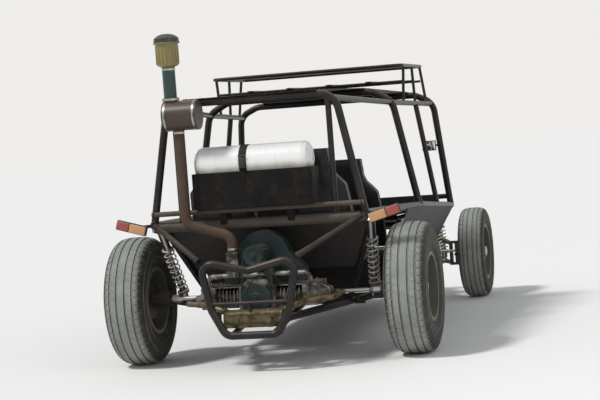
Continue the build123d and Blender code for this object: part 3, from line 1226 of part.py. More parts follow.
LEVER_Y = PILLAR_Y - 90.0
LEVER_RISE = 330.0
LEVER_LEAN = 50.0
LEVER_R = 8.0
KNOB_R = 22.0
TUNNEL_HALF = 45.0
TUNNEL_Y = (LEVER_Y - 110.0, LEVER_Y + 60.0)
TUNNEL_TALL = 60.0
BRAKE_X = 30.0
BRAKE_Y = (LEVER_Y - 90.0, LEVER_Y - 10.0)
BRAKE_RISE = 190.0
BRAKE_R = 9.0
lever_root_z = base_from_z + TUNNEL_TALL - BRAKE_R
lever_top = Vector(0, LEVER_Y - LEVER_LEAN, base_from_z + LEVER_RISE)
levers = joined(
    box((-TUNNEL_HALF, TUNNEL_HALF), TUNNEL_Y, (base_from_z, base_from_z + TUNNEL_TALL)),
    bar((0, LEVER_Y, lever_root_z), lever_top, LEVER_R),
    Solid.make_sphere(KNOB_R).moved(Location(lever_top)),
    bar((BRAKE_X, BRAKE_Y[0], lever_root_z), (BRAKE_X, BRAKE_Y[1], base_from_z + BRAKE_RISE),
        BRAKE_R))
controls = [*[pedal(x) for x in PEDAL_XS], levers]

# Tow lugs: two between the bumper's tubes, one under the guard's bar
TOW_HOLE_R = 12.5
TOW_X = 150.0
TOW_HALF_THICK = 5.0
TOW_HALF_DEEP = 20.0
REAR_TOW_UNDER = 52.0
REAR_TOW_LAP = 4.0
REAR_HOLE_UP = 20.0
DRILL_PAST = 20.0
tow_z = (NOSE_FOOT_Z, NOSE_TIP_Z)
bumper_lugs = [box(around(x, TOW_HALF_THICK), around(NOSE_Y, TOW_HALF_DEEP), tow_z)
               for x in (-TOW_X, TOW_X)]
bumper = coped(joined(bumper, *bumper_lugs), along_x(
    -TOW_X - DRILL_PAST, TOW_X + DRILL_PAST, TOW_HOLE_R, NOSE_Y, sum(tow_z) / 2))
rear_tow_z = (GUARD_BAR_Z - REAR_TOW_UNDER, GUARD_BAR_Z - REAR_TOW_LAP)
rear_lug = box(around(0, TOW_HALF_THICK), around(GUARD_Y, TOW_HALF_DEEP), rear_tow_z)
guard = coped(joined(guard, rear_lug), along_x(
    -DRILL_PAST, DRILL_PAST, TOW_HOLE_R, GUARD_Y, rear_tow_z[0] + REAR_HOLE_UP))

PARTS = {
    "engine_guard": [guard],
    "front_bumper": [bumper],
    "floor_rails": floor_rails,
    "side_rails": [*waist_rails, *roof_rails],
    "nose_rails": nose_rails,
    "cage_hoops": [rear_hoop, centre_hoop, front_hoop],
    "rear_crossbeam": [beam, shelf_tube],
    "rear_braces": [*uprights, *rear_legs, *tail_rails, *skid_bars],
    "side_tubes": side_tubes,
    "cross_tubes": [*floor_cross, dash_tube, *bulkhead_tubes],
    "roof_rack": [rack],
    "roof_rack_slats": [rack_slats],
    "roof_panel": [roof_panel],
    "floor_pan": [floor_pan],
    "side_panels": side_panels,
    "nose_panel": [nose_panel],
    "firewall": [firewall],
    "dash_panel": [dash_panel],
    "front_seats": front_seats,
    "rear_seats": rear_seats,
    "driver_controls": controls,
    "fuel_tank": [fuel_tank],
    "tank_tray": [tank_tray],
    "air_cleaner": [air_cleaner],
    "intake_duct": [intake_duct],
    "engine": [engine],
    "cooling_fan": [cooling_fan],
    "fan_belt": [fan_belt],
    "exhaust": [exhaust],
    "transaxle": [transaxle],
    "rear_arms": rear_arms,
    "shock_absorbers": shock_absorbers,
    "front_beam": [front_beam],
    "front_arms": front_arms,
    "steering_rack": [steering_rack],
    "rack_bar": [rack_bar],
    "steering_wheel": [steering_wheel],
    "tail_lamps": tail_lamps,
    "headlamps": headlamps,
    "mirrors": mirrors,
}
# Pieces that move on their own, one node for each side
SIDED = {
    "knuckle": knuckle,
    "tie_rod": tie_rod,
    "front_wheel": front_wheel,
    "front_tyre": front_tyre,
    "rear_wheel": rear_wheel,
    "rear_tyre": rear_tyre,
    "half_shaft": half_shaft,
}
for name, shapes in PARTS.items():
    write(name, shapes)
for name, shape in SIDED.items():
    write(name + "_right", [shape])
    write(name + "_left", [left(shape)])
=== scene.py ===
"""Looks of the desert buggy: finishes, tyre treads, seats, springs, welds and small fittings.

Metres, +Z up, +Y forward, +X to the right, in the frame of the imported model.
"""
import json
from math import cos, dist, exp, pi, radians, sin, sqrt

import bmesh
import bpy
from mathutils import Matrix, Vector
from mathutils.bvhtree import BVHTree


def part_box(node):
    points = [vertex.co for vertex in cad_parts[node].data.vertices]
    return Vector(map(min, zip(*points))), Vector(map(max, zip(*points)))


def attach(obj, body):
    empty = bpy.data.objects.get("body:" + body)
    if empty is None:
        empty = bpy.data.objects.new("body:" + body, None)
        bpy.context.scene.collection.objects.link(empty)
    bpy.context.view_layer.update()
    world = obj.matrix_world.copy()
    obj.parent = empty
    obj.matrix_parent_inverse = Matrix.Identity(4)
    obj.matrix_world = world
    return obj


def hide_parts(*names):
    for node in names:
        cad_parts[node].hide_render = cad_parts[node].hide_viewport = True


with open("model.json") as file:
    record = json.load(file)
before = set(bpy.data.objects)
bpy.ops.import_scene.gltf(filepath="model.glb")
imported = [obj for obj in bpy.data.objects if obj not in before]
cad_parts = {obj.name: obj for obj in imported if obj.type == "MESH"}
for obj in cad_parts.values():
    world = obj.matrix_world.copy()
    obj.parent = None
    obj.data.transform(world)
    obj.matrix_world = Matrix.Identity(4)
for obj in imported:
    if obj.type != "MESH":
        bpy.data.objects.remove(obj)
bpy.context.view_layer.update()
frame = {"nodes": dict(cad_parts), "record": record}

RIGHT = Vector((1, 0, 0))
FORWARD = Vector((0, 1, 0))
REARWARD = Vector((0, -1, 0))
UP = Vector((0, 0, 1))
SIDES = (("right", 1.0), ("left", -1.0))

# Viewpoint of the photograph, in the part's frame
EYE = Vector((2.59, -11.15, 1.39))
AIM = Vector((0.18, -1.30, 0.92))
PHOTO_TURN = radians(1.42)
PHOTO_PITCH = radians(17.17)
PHOTO_ROLL = radians(-0.55)
LENS_MM = 104.0
VIEW_FAR = 200.0

# Studio
FLOOR_COLOUR = (0.86, 0.85, 0.83, 1.0)
FLOOR_ROUGHNESS = 0.9
FLOOR_HALF = 60.0
SKY_COLOUR = (0.92, 0.96, 1.0, 1.0)
SKY_LIGHT = 0.45
KEY_ENERGY = 2.2
KEY_ANGLE = radians(9.0)
KEY_FROM = Vector((-4.6, -5.4, 9.2))
FILL_ENERGY = 90.0
FILL_SIZE = 5.0
FILL_FROM = Vector((6.0, -7.0, 4.5))


def placed(name, data):
    """A new object in the scene."""
    thing = bpy.data.objects.new(name, data)
    bpy.context.scene.collection.objects.link(thing)
    return thing


def make_camera():
    """A camera at the photograph's viewpoint, turned to the buggy."""
    turn = Matrix.Rotation(PHOTO_TURN, 3, "Z")
    tip = Matrix.Rotation(pi / 2 - PHOTO_PITCH, 3, "X")
    roll = Matrix.Rotation(PHOTO_ROLL, 3, "Z")
    photo_up = (turn @ tip @ roll) @ FORWARD
    back = (EYE - AIM).normalized()
    right = photo_up.cross(back).normalized()
    facing = Matrix((right, back.cross(right), back)).transposed().to_4x4()
    data = bpy.data.cameras.new("camera")
    data.lens = LENS_MM
    data.clip_end = VIEW_FAR
    camera = placed("camera", data)
    camera.matrix_world = Matrix.Translation(EYE) @ facing
    bpy.context.scene.camera = camera


def seen_directly(tree):
    """A factor that is 1 for what the camera, a reflection or glass sees, and 0 for light."""
    rays = tree.nodes.new("ShaderNodeLightPath")
    seen = rays.outputs["Is Camera Ray"]
    for kind in ("Is Glossy Ray", "Is Transmission Ray"):
        either = tree.nodes.new("ShaderNodeMath")
        either.operation = "MAXIMUM"
        tree.links.new(seen, either.inputs[0])
        tree.links.new(rays.outputs[kind], either.inputs[1])
        seen = either.outputs[0]
    return seen


def make_world():
    """An even pale surround that lights the buggy softly."""
    world = bpy.data.worlds.new("studio")
    bpy.context.scene.world = world
    world.use_nodes = True
    tree = world.node_tree
    light = tree.nodes["Background"]
    light.inputs["Color"].default_value = SKY_COLOUR
    light.inputs["Strength"].default_value = SKY_LIGHT
    backdrop = tree.nodes.new("ShaderNodeBackground")
    backdrop.inputs["Color"].default_value = FLOOR_COLOUR
    mix = tree.nodes.new("ShaderNodeMixShader")
    tree.links.new(seen_directly(tree), mix.inputs[0])
    tree.links.new(light.outputs[0], mix.inputs[1])
    tree.links.new(backdrop.outputs[0], mix.inputs[2])
    tree.links.new(mix.outputs[0], tree.nodes["World Output"].inputs["Surface"])


def make_floor():
    """A plain pale floor."""
    mesh = bpy.data.meshes.new("floor")
    corners = [(-FLOOR_HALF, -FLOOR_HALF, 0), (FLOOR_HALF, -FLOOR_HALF, 0),
               (FLOOR_HALF, FLOOR_HALF, 0), (-FLOOR_HALF, FLOOR_HALF, 0)]
    mesh.from_pydata(corners, [], [(0, 1, 2, 3)])
    floor = placed("floor", mesh)
    material = bpy.data.materials.new("floor")
    material.use_nodes = True
    shader = material.node_tree.nodes["Principled BSDF"]
    shader.inputs["Base Color"].default_value = FLOOR_COLOUR
    shader.inputs["Roughness"].default_value = FLOOR_ROUGHNESS
    mesh.materials.append(material)


def make_lights():
    """A soft key from high behind the buggy's left, and a weak wide fill from its right."""
    key = bpy.data.lights.new("key", "SUN")
    key.energy = KEY_ENERGY
    key.angle = KEY_ANGLE
    fill = bpy.data.lights.new("fill", "AREA")
    fill.energy = FILL_ENERGY
    fill.size = FILL_SIZE
    for data, place in ((key, KEY_FROM), (fill, FILL_FROM)):
        lamp = placed(data.name, data)
        lamp.location = place
        lamp.rotation_euler = (place - AIM).to_track_quat("Z", "Y").to_euler()


# Dust of the desert, linear colours
DUST = (0.33, 0.245, 0.165, 1.0)
DARK_DUST = (0.13, 0.098, 0.068, 1.0)

# Spots: scale, detail and roughness of their noise, where they begin and are full, weight
DUST_PATCH_SCALE = 5.0
DUST_PATCHES = (8.0, 0.7, 0.36, 0.78, 0.28)
DUST_SPECKS = (110.0, 4.0, 0.75, 0.46, 0.74, 0.26)
STAINS = (13.0, 7.0, 0.7, 0.45, 0.78, 0.55)
SCUFFS = (34.0, 8.0, 0.75, 0.63, 0.71, 0.7)
GRIME = (16.0, 7.0, 0.7, 0.40, 0.60, 1.0)
RUST = (20.0, 8.0, 0.7, 0.45, 0.62, 1.0)

# Settled dust: share of its spots that sides keep, even film on what faces up, from which slope
DUST_ON_SIDES = 0.32
DUST_FILM = 0.10
UP_FROM = 0.15
UP_FULL = 0.95


class Finish:
    """A procedural material built from a few repeated steps."""

    def __init__(self, name, roughness=0.5, metallic=0.0, coat=0.0, glass=0.0, shine=0.5):
        self.material = bpy.data.materials.new(name)
        self.material.use_nodes = True
        self.tree = self.material.node_tree
        self.shader = self.tree.nodes["Principled BSDF"]
        for socket, value in (("Roughness", roughness), ("Metallic", metallic),
                              ("Coat Weight", coat), ("Transmission Weight", glass),
                              ("Specular IOR Level", shine)):
            self.shader.inputs[socket].default_value = value
        place = self.tree.nodes.new("ShaderNodeTexCoord")
        self.place = place.outputs["Object"]
        self.normal = place.outputs["Normal"]

    def wire(self, source, target):
        """Links a socket, or sets a plain value."""
        if isinstance(source, bpy.types.NodeSocket):
            self.tree.links.new(source, target)
        else:
            target.default_value = source

    def node(self, kind, sockets, **settings):
        """A new node with its settings made and its inputs linked or set."""
        made = self.tree.nodes.new(kind)
        for name, value in settings.items():
            setattr(made, name, value)
        for key, source in sockets.items():
            self.wire(source, made.inputs[key])
        return made

    def noise(self, scale, detail=4.0, roughness=0.55, stretch=(1, 1, 1)):
        """Cloudy variation from 0 to 1; scale is in features per metre."""
        squeeze = self.node("ShaderNodeMapping", {"Vector": self.place, "Scale": stretch})
        return self.node("ShaderNodeTexNoise", {
            "Vector": squeeze.outputs[0], "Scale": scale, "Detail": detail,
            "Roughness": roughness}).outputs["Fac"]

    def cells(self, scale):
        """Small round cells, as in leather grain or a cast skin."""
        return self.node("ShaderNodeTexVoronoi", {
            "Vector": self.place, "Scale": scale}).outputs["Distance"]

    def ramp(self, value, low, high, to_low=0.0, to_high=1.0):
        """The value between low and high spread over the new range, smoothly."""
        return self.node("ShaderNodeMapRange", {
            "Value": value, "From Min": low, "From Max": high, "To Min": to_low,
            "To Max": to_high}, interpolation_type="SMOOTHSTEP").outputs["Result"]

    def sums(self, operation, first, second=0.0):
        """One arithmetic step."""
        return self.node("ShaderNodeMath", {0: first, 1: second}, operation=operation).outputs[0]

    def times(self, first, second):
        """The product of two values."""
        return self.sums("MULTIPLY", first, second)

    def plus(self, first, second):
        """The sum of two values."""
        return self.sums("ADD", first, second)

    def mixed(self, first, second, share):
        """Two colours mixed by a share."""
        return self.node("ShaderNodeMix", {"Factor": share, "A": first, "B": second},
                         data_type="RGBA").outputs["Result"]

    def along(self, source, axis):
        """One coordinate of a vector."""
        return self.node("ShaderNodeSeparateXYZ", {0: source}).outputs[axis]

    def spots(self, scale, detail, roughness, begin, full, weight):
        """Spots of noise with soft edges."""
        return self.times(self.ramp(self.noise(scale, detail, roughness), begin, full), weight)

    def settled(self, amount, patch=DUST_PATCH_SCALE):
        """A share of dust: a film on what faces up, thin patches and specks elsewhere."""
        upward = self.ramp(self.along(self.normal, "Z"), UP_FROM, UP_FULL)
        spread = self.plus(self.spots(patch, *DUST_PATCHES), self.spots(*DUST_SPECKS))
        share = self.plus(self.times(spread, self.plus(upward, DUST_ON_SIDES)),
                          self.times(upward, DUST_FILM))
        return self.sums("MINIMUM", self.times(share, amount), 1.0)

    def dusted(self, tone, amount, dust=DUST, rough=None, patch=DUST_PATCH_SCALE):
        """A tone under settled dust; rough is the share that counts as full, clean, dusty."""
        share = self.settled(amount, patch)
        self.colour(self.mixed(tone, dust, share))
        if rough:
            full, clean, dusty = rough
            self.rough(self.ramp(share, 0.0, full, clean, dusty))
        return share

    def ribs(self, pitch):
        """Upright ribs across the buggy, as moulded in lamp glass."""
        return self.sums("SINE", self.times(self.along(self.place, "X"), 2 * pi / pitch))

    def bump(self, height, strength, depth):
        """Adds relief to the surface."""
        relief = self.node("ShaderNodeBump", {
            "Strength": strength, "Distance": depth, "Height": height})
        before = self.shader.inputs["Normal"].links
        if before:
            self.wire(before[0].from_socket, relief.inputs["Normal"])
        self.wire(relief.outputs[0], self.shader.inputs["Normal"])

    def colour(self, source):
        """Sets the base colour."""
        self.wire(source, self.shader.inputs["Base Color"])

    def rough(self, source):
        """Sets the roughness."""
        self.wire(source, self.shader.inputs["Roughness"])


# Worn paint: faded colour against the base, colours of stain and of bare scuffs, dusty roughness
FADE = 1.8
FADE_SCALE = 9.0
STAIN_COLOUR = (0.035, 0.025, 0.017, 1.0)
SCUFF_COLOUR = (0.055, 0.042, 0.032, 1.0)
DUSTY_FULL = 0.7
DUSTY_ROUGHNESS = 0.85

# Paints: what differs from the usual values of worn_paint
PAINTS = {
    # Black tube paint under brown dust
    "black_paint": {"base": (0.006, 0.006, 0.007, 1.0), "roughness": 0.32, "shine": 0.25},
    # The cross beam, nearly hidden by dust
    "dusty_beam": {"base": (0.05, 0.04, 0.032, 1.0), "dust": 1.3, "roughness": 0.6,
                   "dust_colour": (0.17, 0.125, 0.085, 1.0)},
    # Blue-black sheet paint
    "panel_blue_black": {"base": (0.010, 0.015, 0.024, 1.0), "dust": 0.8, "roughness": 0.5,
                         "shine": 0.2},
    # Dark matt sheet
    "roof_skin": {"base": (0.012, 0.012, 0.013, 1.0), "dust": 0.85, "roughness": 0.55},
    # Near-black sheet of the tank's tray
    "tray_black": {"base": (0.003, 0.003, 0.0035, 1.0), "dust": 0.3, "roughness": 0.6,
                   "shine": 0.12},
    # Brown rubber hose
    "duct_brown": {"base": (0.04, 0.024, 0.015, 1.0), "roughness": 0.6},
    # Dark teal fan housing and alternator
    "fan_black": {"base": (0.007, 0.018, 0.020, 1.0), "dust": 0.5},
    # Dull belt rubber
    "belt_rubber": {"base": (0.012, 0.012, 0.012, 1.0), "dust": 0.35, "roughness": 0.7},
    # Black suspension and steering steel
    "arm_steel": {"base": (0.018, 0.017, 0.017, 1.0), "dust": 0.9, "roughness": 0.5},
    # Pale spring and damper paint
    "shock_steel": {"base": (0.42, 0.40, 0.34, 1.0), "dust": 0.7, "roughness": 0.45,
                    "wear": (0.12, 0.09, 0.06, 1.0)},
    # Dark grey wheel enamel under dust
    "wheel_steel": {"base": (0.07, 0.068, 0.062, 1.0), "dust": 1.1, "roughness": 0.5},
}


def worn_paint(name, base, dust=0.6, roughness=0.38, wear=SCUFF_COLOUR, dust_colour=DUST,
               shine=0.3):
    """Paint with scuffs, brown stain, dust that lies on top and a fine orange peel."""
    finish = Finish(name, shine=shine)
    faded = tuple(channel * FADE for channel in base[:3]) + (1.0,)
    tone = finish.mixed(base, faded, finish.noise(FADE_SCALE))
    tone = finish.mixed(tone, STAIN_COLOUR, finish.spots(*STAINS))
    tone = finish.mixed(tone, wear, finish.spots(*SCUFFS))
    share = finish.dusted(tone, dust, dust_colour, (DUSTY_FULL, roughness, DUSTY_ROUGHNESS))
    finish.bump(finish.noise(420.0, detail=2.0), strength=0.12, depth=0.0006)
    finish.bump(share, strength=0.25, depth=0.0008)
    return finish.material


def vinyl():
    """Black seat cover with a fine grain and a dusty bloom."""
    finish = Finish("seat_vinyl")
    tone = finish.mixed((0.010, 0.010, 0.011, 1.0), (0.022, 0.02, 0.019, 1.0), finish.noise(14.0))
    finish.dusted(tone, 0.4, DARK_DUST, rough=(0.8, 0.44, 0.8), patch=4.0)
    finish.bump(finish.cells(900.0), strength=0.25, depth=0.0006)
    finish.bump(finish.noise(26.0, detail=3.0), strength=0.3, depth=0.004)
    return finish.material


# Tank: half height of the soft edge of the painted shade on its lower half, and how far noise moves
# that edge
SHADE_EDGE = 0.03
SHADE_WAVER = 0.05


def tank_white():
    """Clean white paint above, painted olive-grey shade below, with a few streaks of dust."""
    finish = Finish("tank_white", coat=0.3)
    middle = middle_of("fuel_tank").z
    height = finish.along(finish.place, "Z")
    reach = finish.plus(height, finish.times(finish.noise(7.0, detail=5.0), SHADE_WAVER))
    # painted shade: olive-grey below the tank's middle, where the white falls into shade
    film = finish.ramp(reach, middle + SHADE_EDGE, middle - SHADE_EDGE)
    streaks = finish.ramp(finish.noise(30.0, 5.0, 0.6, stretch=(1, 1, 0.12)), 0.5, 0.75)
    # mostly painted shade, with a little dust in the streaks
    share = finish.plus(finish.times(film, 0.85), finish.times(streaks, 0.1))
    finish.colour(finish.mixed((0.80, 0.80, 0.78, 1.0), (0.16, 0.15, 0.085, 1.0), share))
    finish.rough(finish.ramp(share, 0.0, 0.7, to_low=0.25, to_high=0.7))
    finish.bump(finish.noise(3.0, detail=2.0), strength=0.35, depth=0.006)
    return finish.material


# Heights where the air intake changes colour, down from its top and up from its bottom
CAP_BELOW_TOP = 0.050
BOWL_BELOW_TOP = 0.190
STEM_ABOVE_BASE = 0.172
EDGE = 0.001


def intake_olive():
    """Brown canister, dark teal stem and yellow-olive bowl under a dark cap, split by height."""
    finish = Finish("intake_olive")
    low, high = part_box("air_cleaner")
    height = finish.along(finish.place, "Z")
    tone = (0.040, 0.024, 0.016, 1.0)
    for level, colour in ((low.z + STEM_ABOVE_BASE, (0.008, 0.034, 0.031, 1.0)),
                          (high.z - BOWL_BELOW_TOP, (0.22, 0.185, 0.065, 1.0)),
                          (high.z - CAP_BELOW_TOP, (0.016, 0.02, 0.017, 1.0))):
        tone = finish.mixed(tone, colour, finish.ramp(height, level - EDGE, level + EDGE))
    finish.dusted(tone, 0.6, rough=(0.7, 0.38, 0.8))
    finish.bump(finish.noise(200.0, detail=2.0), strength=0.15, depth=0.0006)
    return finish.material


def cast_alloy():
    """Oxidised cast aluminium with oily grime in its hollows."""
    finish = Finish("engine_alloy", metallic=0.7)
    tone = finish.mixed((0.23, 0.22, 0.205, 1.0), (0.03, 0.024, 0.017, 1.0), finish.spots(*GRIME))
    finish.dusted(tone, 0.6, rough=(0.6, 0.45, 0.85))
    finish.bump(finish.noise(600.0, detail=3.0), strength=0.3, depth=0.0008)
    return finish.material


def exhaust_steel():
    """Olive-brown heated steel with rust."""
    finish = Finish("exhaust_steel", metallic=0.6)
    rust = finish.spots(*RUST)
    finish.dusted(finish.mixed((0.115, 0.102, 0.05, 1.0), (0.085, 0.044, 0.022, 1.0), rust), 0.6)
    finish.rough(finish.ramp(rust, 0.0, 1.0, to_low=0.4, to_high=0.85))
    finish.bump(finish.noise(300.0, 5.0, 0.7), strength=0.3, depth=0.0012)
    return finish.material


def bright_steel():
    """Machined steel with a brushed grain."""
    finish = Finish("bright_steel", metallic=1.0)
    grain = finish.noise(140.0, 4.0, 0.6, stretch=(0.08, 1, 1))
    tone = finish.mixed((0.30, 0.295, 0.285, 1.0), (0.45, 0.44, 0.43, 1.0), grain)
    finish.dusted(tone, 0.6, DARK_DUST, rough=(0.6, 0.3, 0.8))
    finish.bump(grain, strength=0.15, depth=0.0005)
    return finish.material


# Tyres: how far across a normal looks where the tread's pale grey, partly dust and partly painted
# sunlight, ends and is full
TREAD_ENDS = 0.72
TREAD_FULL = 0.34


def tyre_rubber():
    """Black sidewalls, and pale grey treads: partly desert dust, partly painted sunlight."""
    finish = Finish("tyre_rubber", roughness=0.8)
    across = finish.sums("ABSOLUTE", finish.along(finish.normal, "X"))
    tread = finish.ramp(across, TREAD_ENDS, TREAD_FULL)
    patches = finish.ramp(finish.noise(11.0, 6.0, 0.65), 0.25, 0.75, to_low=0.72, to_high=1.0)
    specks = finish.ramp(finish.noise(160.0, 4.0, 0.7), 0.3, 0.75, to_low=0.85, to_high=1.1)
    share = finish.times(finish.times(tread, patches), specks)
    brown = finish.ramp(finish.noise(18.0, detail=5.0), 0.4, 0.8, to_low=0.05, to_high=0.5)
    wall = finish.mixed((0.018, 0.018, 0.018, 1.0), DARK_DUST, brown)
    # pale grey treads: partly dust, partly painted sunlight on the tread faces
    finish.colour(finish.mixed(wall, (0.29, 0.305, 0.275, 1.0), share))
    finish.bump(finish.noise(500.0, 4.0, 0.6), strength=0.3, depth=0.0008)
    return finish.material


# Lamps: pitch of the ribs moulded in their lenses, and the even film of dust on the rear ones
TAIL_LENS_PITCH = 0.0070
HEADLAMP_PITCH = 0.012
LENS_FILM = 0.16


def lamp_lens(name, tint):
    """Tinted lamp plastic with moulded ribs."""
    finish = Finish(name, roughness=0.3, coat=0.25)
    film = finish.plus(finish.settled(0.6), LENS_FILM)
    finish.colour(finish.mixed(tint, DUST, film))
    finish.bump(finish.ribs(TAIL_LENS_PITCH), strength=0.5, depth=0.0008)
    return finish.material


def lamp_clear():
    """Bright lamp shell and mirror glass."""
    finish = Finish("lamp_clear", metallic=1.0)
    finish.dusted((0.6, 0.6, 0.6, 1.0), 0.45, rough=(0.6, 0.12, 0.7))
    finish.bump(finish.noise(6.0, detail=2.0), strength=0.1, depth=0.002)
    return finish.material


def lens_glass():
    """Clear ribbed headlamp glass with a dusty film."""
    finish = Finish("lens_glass", glass=0.85)
    finish.dusted((0.95, 0.96, 0.96, 1.0), 0.35, rough=(0.6, 0.05, 0.6))
    finish.bump(finish.ribs(HEADLAMP_PITCH), strength=0.3, depth=0.0010)
    return finish.material


def dial_face():
    """Pale instrument dial under glass."""
    finish = Finish("dial_face", roughness=0.3, coat=0.6)
    finish.dusted((0.55, 0.54, 0.5, 1.0), 0.5)
    finish.bump(finish.noise(300.0, detail=2.0), strength=0.1, depth=0.0003)
    return finish.material


def control_black():
    """Moulded black plastic."""
    finish = Finish("control_black")
    finish.dusted((0.013, 0.013, 0.014, 1.0), 0.4, DARK_DUST)
    finish.bump(finish.cells(1200.0), strength=0.2, depth=0.0004)
    return finish.material


def middle_of(node):
    """The middle of a node's box."""
    low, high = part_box(node)
    return (low + high) / 2


# The slots' finishes, and three more that pieces wear over their slot's
FINISHES = {name: worn_paint(name, **values) for name, values in PAINTS.items()}
FINISHES |= {
    "seat_vinyl": vinyl(),
    "tank_white": tank_white(),
    "intake_olive": intake_olive(),
    "engine_alloy": cast_alloy(),
    "exhaust_steel": exhaust_steel(),
    "bright_steel": bright_steel(),
    "tyre_rubber": tyre_rubber(),
    "lamp_amber": lamp_lens("lamp_amber", (0.55, 0.27, 0.11, 1.0)),
    "lamp_clear": lamp_clear(),
    "control_black": control_black(),
    "lamp_red": lamp_lens("lamp_red", (0.30, 0.02, 0.016, 1.0)),
    "lens_glass": lens_glass(),
    "dial_face": dial_face(),
}


def dress_nodes():
    """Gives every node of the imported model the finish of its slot."""
    for subpart in frame["record"]["subparts"]:
        node = frame["nodes"][subpart["node"]]
        node.data.materials.clear()
        node.data.materials.append(FINISHES[subpart["material_slot"]])


SHARP_ANGLE = radians(38.0)
NEARLY_UPRIGHT = 0.9

# Bolt head, its washer and a rivet's dome: shares of the height and of the radius
WASHER = ((0.0, 1.25), (0.18, 1.25))
BOLT_HEAD = ((0.18, 1.0), (0.85, 1.0), (1.0, 0.86))
DOME = ((0.0, 1.0), (0.3, 0.85), (0.5, 0.4))
# Screw of a clamp band: its shank, its place out from the band, its head's size and height
BAND_SCREW = ((-0.010, 0.0045), (0.010, 0.0045))
BAND_SCREW_OUT = 0.004
BAND_SCREW_HEAD = (0.004, 0.005)


def square_to(axis):
    """Two unit vectors square to an axis and to each other."""
    axis = Vector(axis).normalized()
    other = UP if abs(axis.z) < NEARLY_UPRIGHT else RIGHT
    first = axis.cross(other).normalized()
    return first, axis.cross(first).normalized()


def circle(centre, first, second, radius, count, shift=0.0):
    """Points round a centre, counted from the first direction towards the second."""
    turns = [2 * pi * (number + shift) / count for number in range(count)]
    return [Vector(centre) + (first * cos(turn) + second * sin(turn)) * radius for turn in turns]


def scaled(profile, length, radius):
    """Pairs of distance and radius made larger."""
    return [(along * length, r * radius) for along, r in profile]


class Shape:
    """Points and faces gathered for one mesh."""

    def __init__(self):
        self.points = []
        self.faces = []

    def net(self, rows, closed=False):
        """Quads between equal rings of points, in a closed round or with both ends capped."""
        first, wide, count = len(self.points), len(rows[0]), len(rows)
        for row in rows:
            self.points.extend(Vector(point) for point in row)
        for r in range(count if closed else count - 1):
            for c in range(wide):
                right, below = (c + 1) % wide, (r + 1) % count
                self.faces.append((first + r * wide + c, first + r * wide + right,
                                   first + below * wide + right, first + below * wide + c))
        if not closed:
            self.faces.append(tuple(range(first, first + wide)))
            self.faces.append(tuple(range(first + (count - 1) * wide, first + count * wide)))

    def turned(self, origin, axis, profile, steps=24):
        """A solid turned from pairs of distance along the axis and radius."""
        axis = Vector(axis).normalized()
        self.net([circle(Vector(origin) + axis * along, *square_to(axis), radius, steps)
                  for along, radius in profile])

    def ring(self, origin, axis, radius, wire, steps=48, sides=8):
        """A round wire bent to a circle."""
        self.tube(circle(origin, *square_to(axis), radius, steps), wire, sides, closed=True)

    def tube(self, path, radius, sides=8, closed=False):
        """A round wire along a path of points."""
        count = len(path)
        side, rows = None, []
        for number, point in enumerate(path):
            before = path[(number - 1) % count] if closed or number else point
            after = path[(number + 1) % count] if closed or number < count - 1 else point
            ahead = (after - before).normalized()
            if side is None:
                side = square_to(ahead)[0]
            side = (side - ahead * side.dot(ahead)).normalized()
            rows.append(circle(point, side, ahead.cross(side), radius, sides))
        self.net(rows, closed)

    def slab(self, middle, half, bevel, turn=None, segments=2):
        """A box with rounded edges given by its middle and half sizes, turned where asked."""
        first = len(self.points)
        made = bmesh.new()
        bmesh.ops.create_cube(made, size=2.0)
        for vertex in made.verts:
            vertex.co = vertex.co * Vector(half)
        bmesh.ops.bevel(made, geom=made.edges[:], offset=bevel, segments=segments,
                        affect="EDGES", profile=0.5)
        made.verts.index_update()
        for vertex in made.verts:
            self.points.append(Vector(middle) + (turn @ vertex.co if turn else vertex.co))
        self.faces.extend(tuple(first + vertex.index for vertex in face.verts)
                          for face in made.faces)
        made.free()

    def fan(self, centre, radius, angles, half, bevel):
        """Slabs round a centre, each turned by its angle in degrees from the top."""
        for angle in angles:
            turn = Matrix.Rotation(radians(angle), 3, "Y")
            self.slab(Vector(centre) + turn @ (UP * radius), half, bevel, turn)

    def bolt(self, place, axis, size, tall):
        """A bolt head on a washer."""
        self.turned(place, axis, scaled(WASHER, tall, size), 16)
        self.turned(place, axis, scaled(BOLT_HEAD, tall, size), 6)

    def band(self, centre, axis, radius, wide=0.012, thick=0.0016):
        """A clamp band with its screw."""
        skin = radius + thick
        self.turned(centre, axis, ((-wide / 2, radius), (-wide / 2, skin), (wide / 2, skin),
                                   (wide / 2, radius)), 40)
        first, second = square_to(axis)
        spot = Vector(centre) + first * (skin + BAND_SCREW_OUT)
        self.turned(spot, second, BAND_SCREW, 12)
        self.bolt(spot + second * BAND_SCREW[1][0], second, *BAND_SCREW_HEAD)

    def mesh(self):
        """The gathered faces as a mesh with outward normals."""
        mesh = bpy.data.meshes.new("shape")
        mesh.from_pydata(self.points, [], self.faces)
        made = bmesh.new()
        made.from_mesh(mesh)
        bmesh.ops.recalc_face_normals(made, faces=made.faces)
        made.to_mesh(mesh)
        made.free()
        return mesh

    def piece(self, name, slot, **choices):
        """The gathered faces as a piece, smooth up to the sharp angle."""
        mesh = self.mesh()
        mesh.shade_smooth()
        mesh.set_sharp_from_angle(angle=SHARP_ANGLE)
        add_piece(name, mesh, slot, **choices)


def add_piece(name, mesh, slot, body="frame", replaces=(), finish=None):
    """Puts a finished mesh on a body, in its slot's finish unless another is named."""
    mesh.name = name
    piece = placed(name, mesh)
    mesh.materials.clear()
    mesh.materials.append(FINISHES[finish or slot])
    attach(piece, body)
    if replaces:
        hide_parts(*replaces)
    return piece


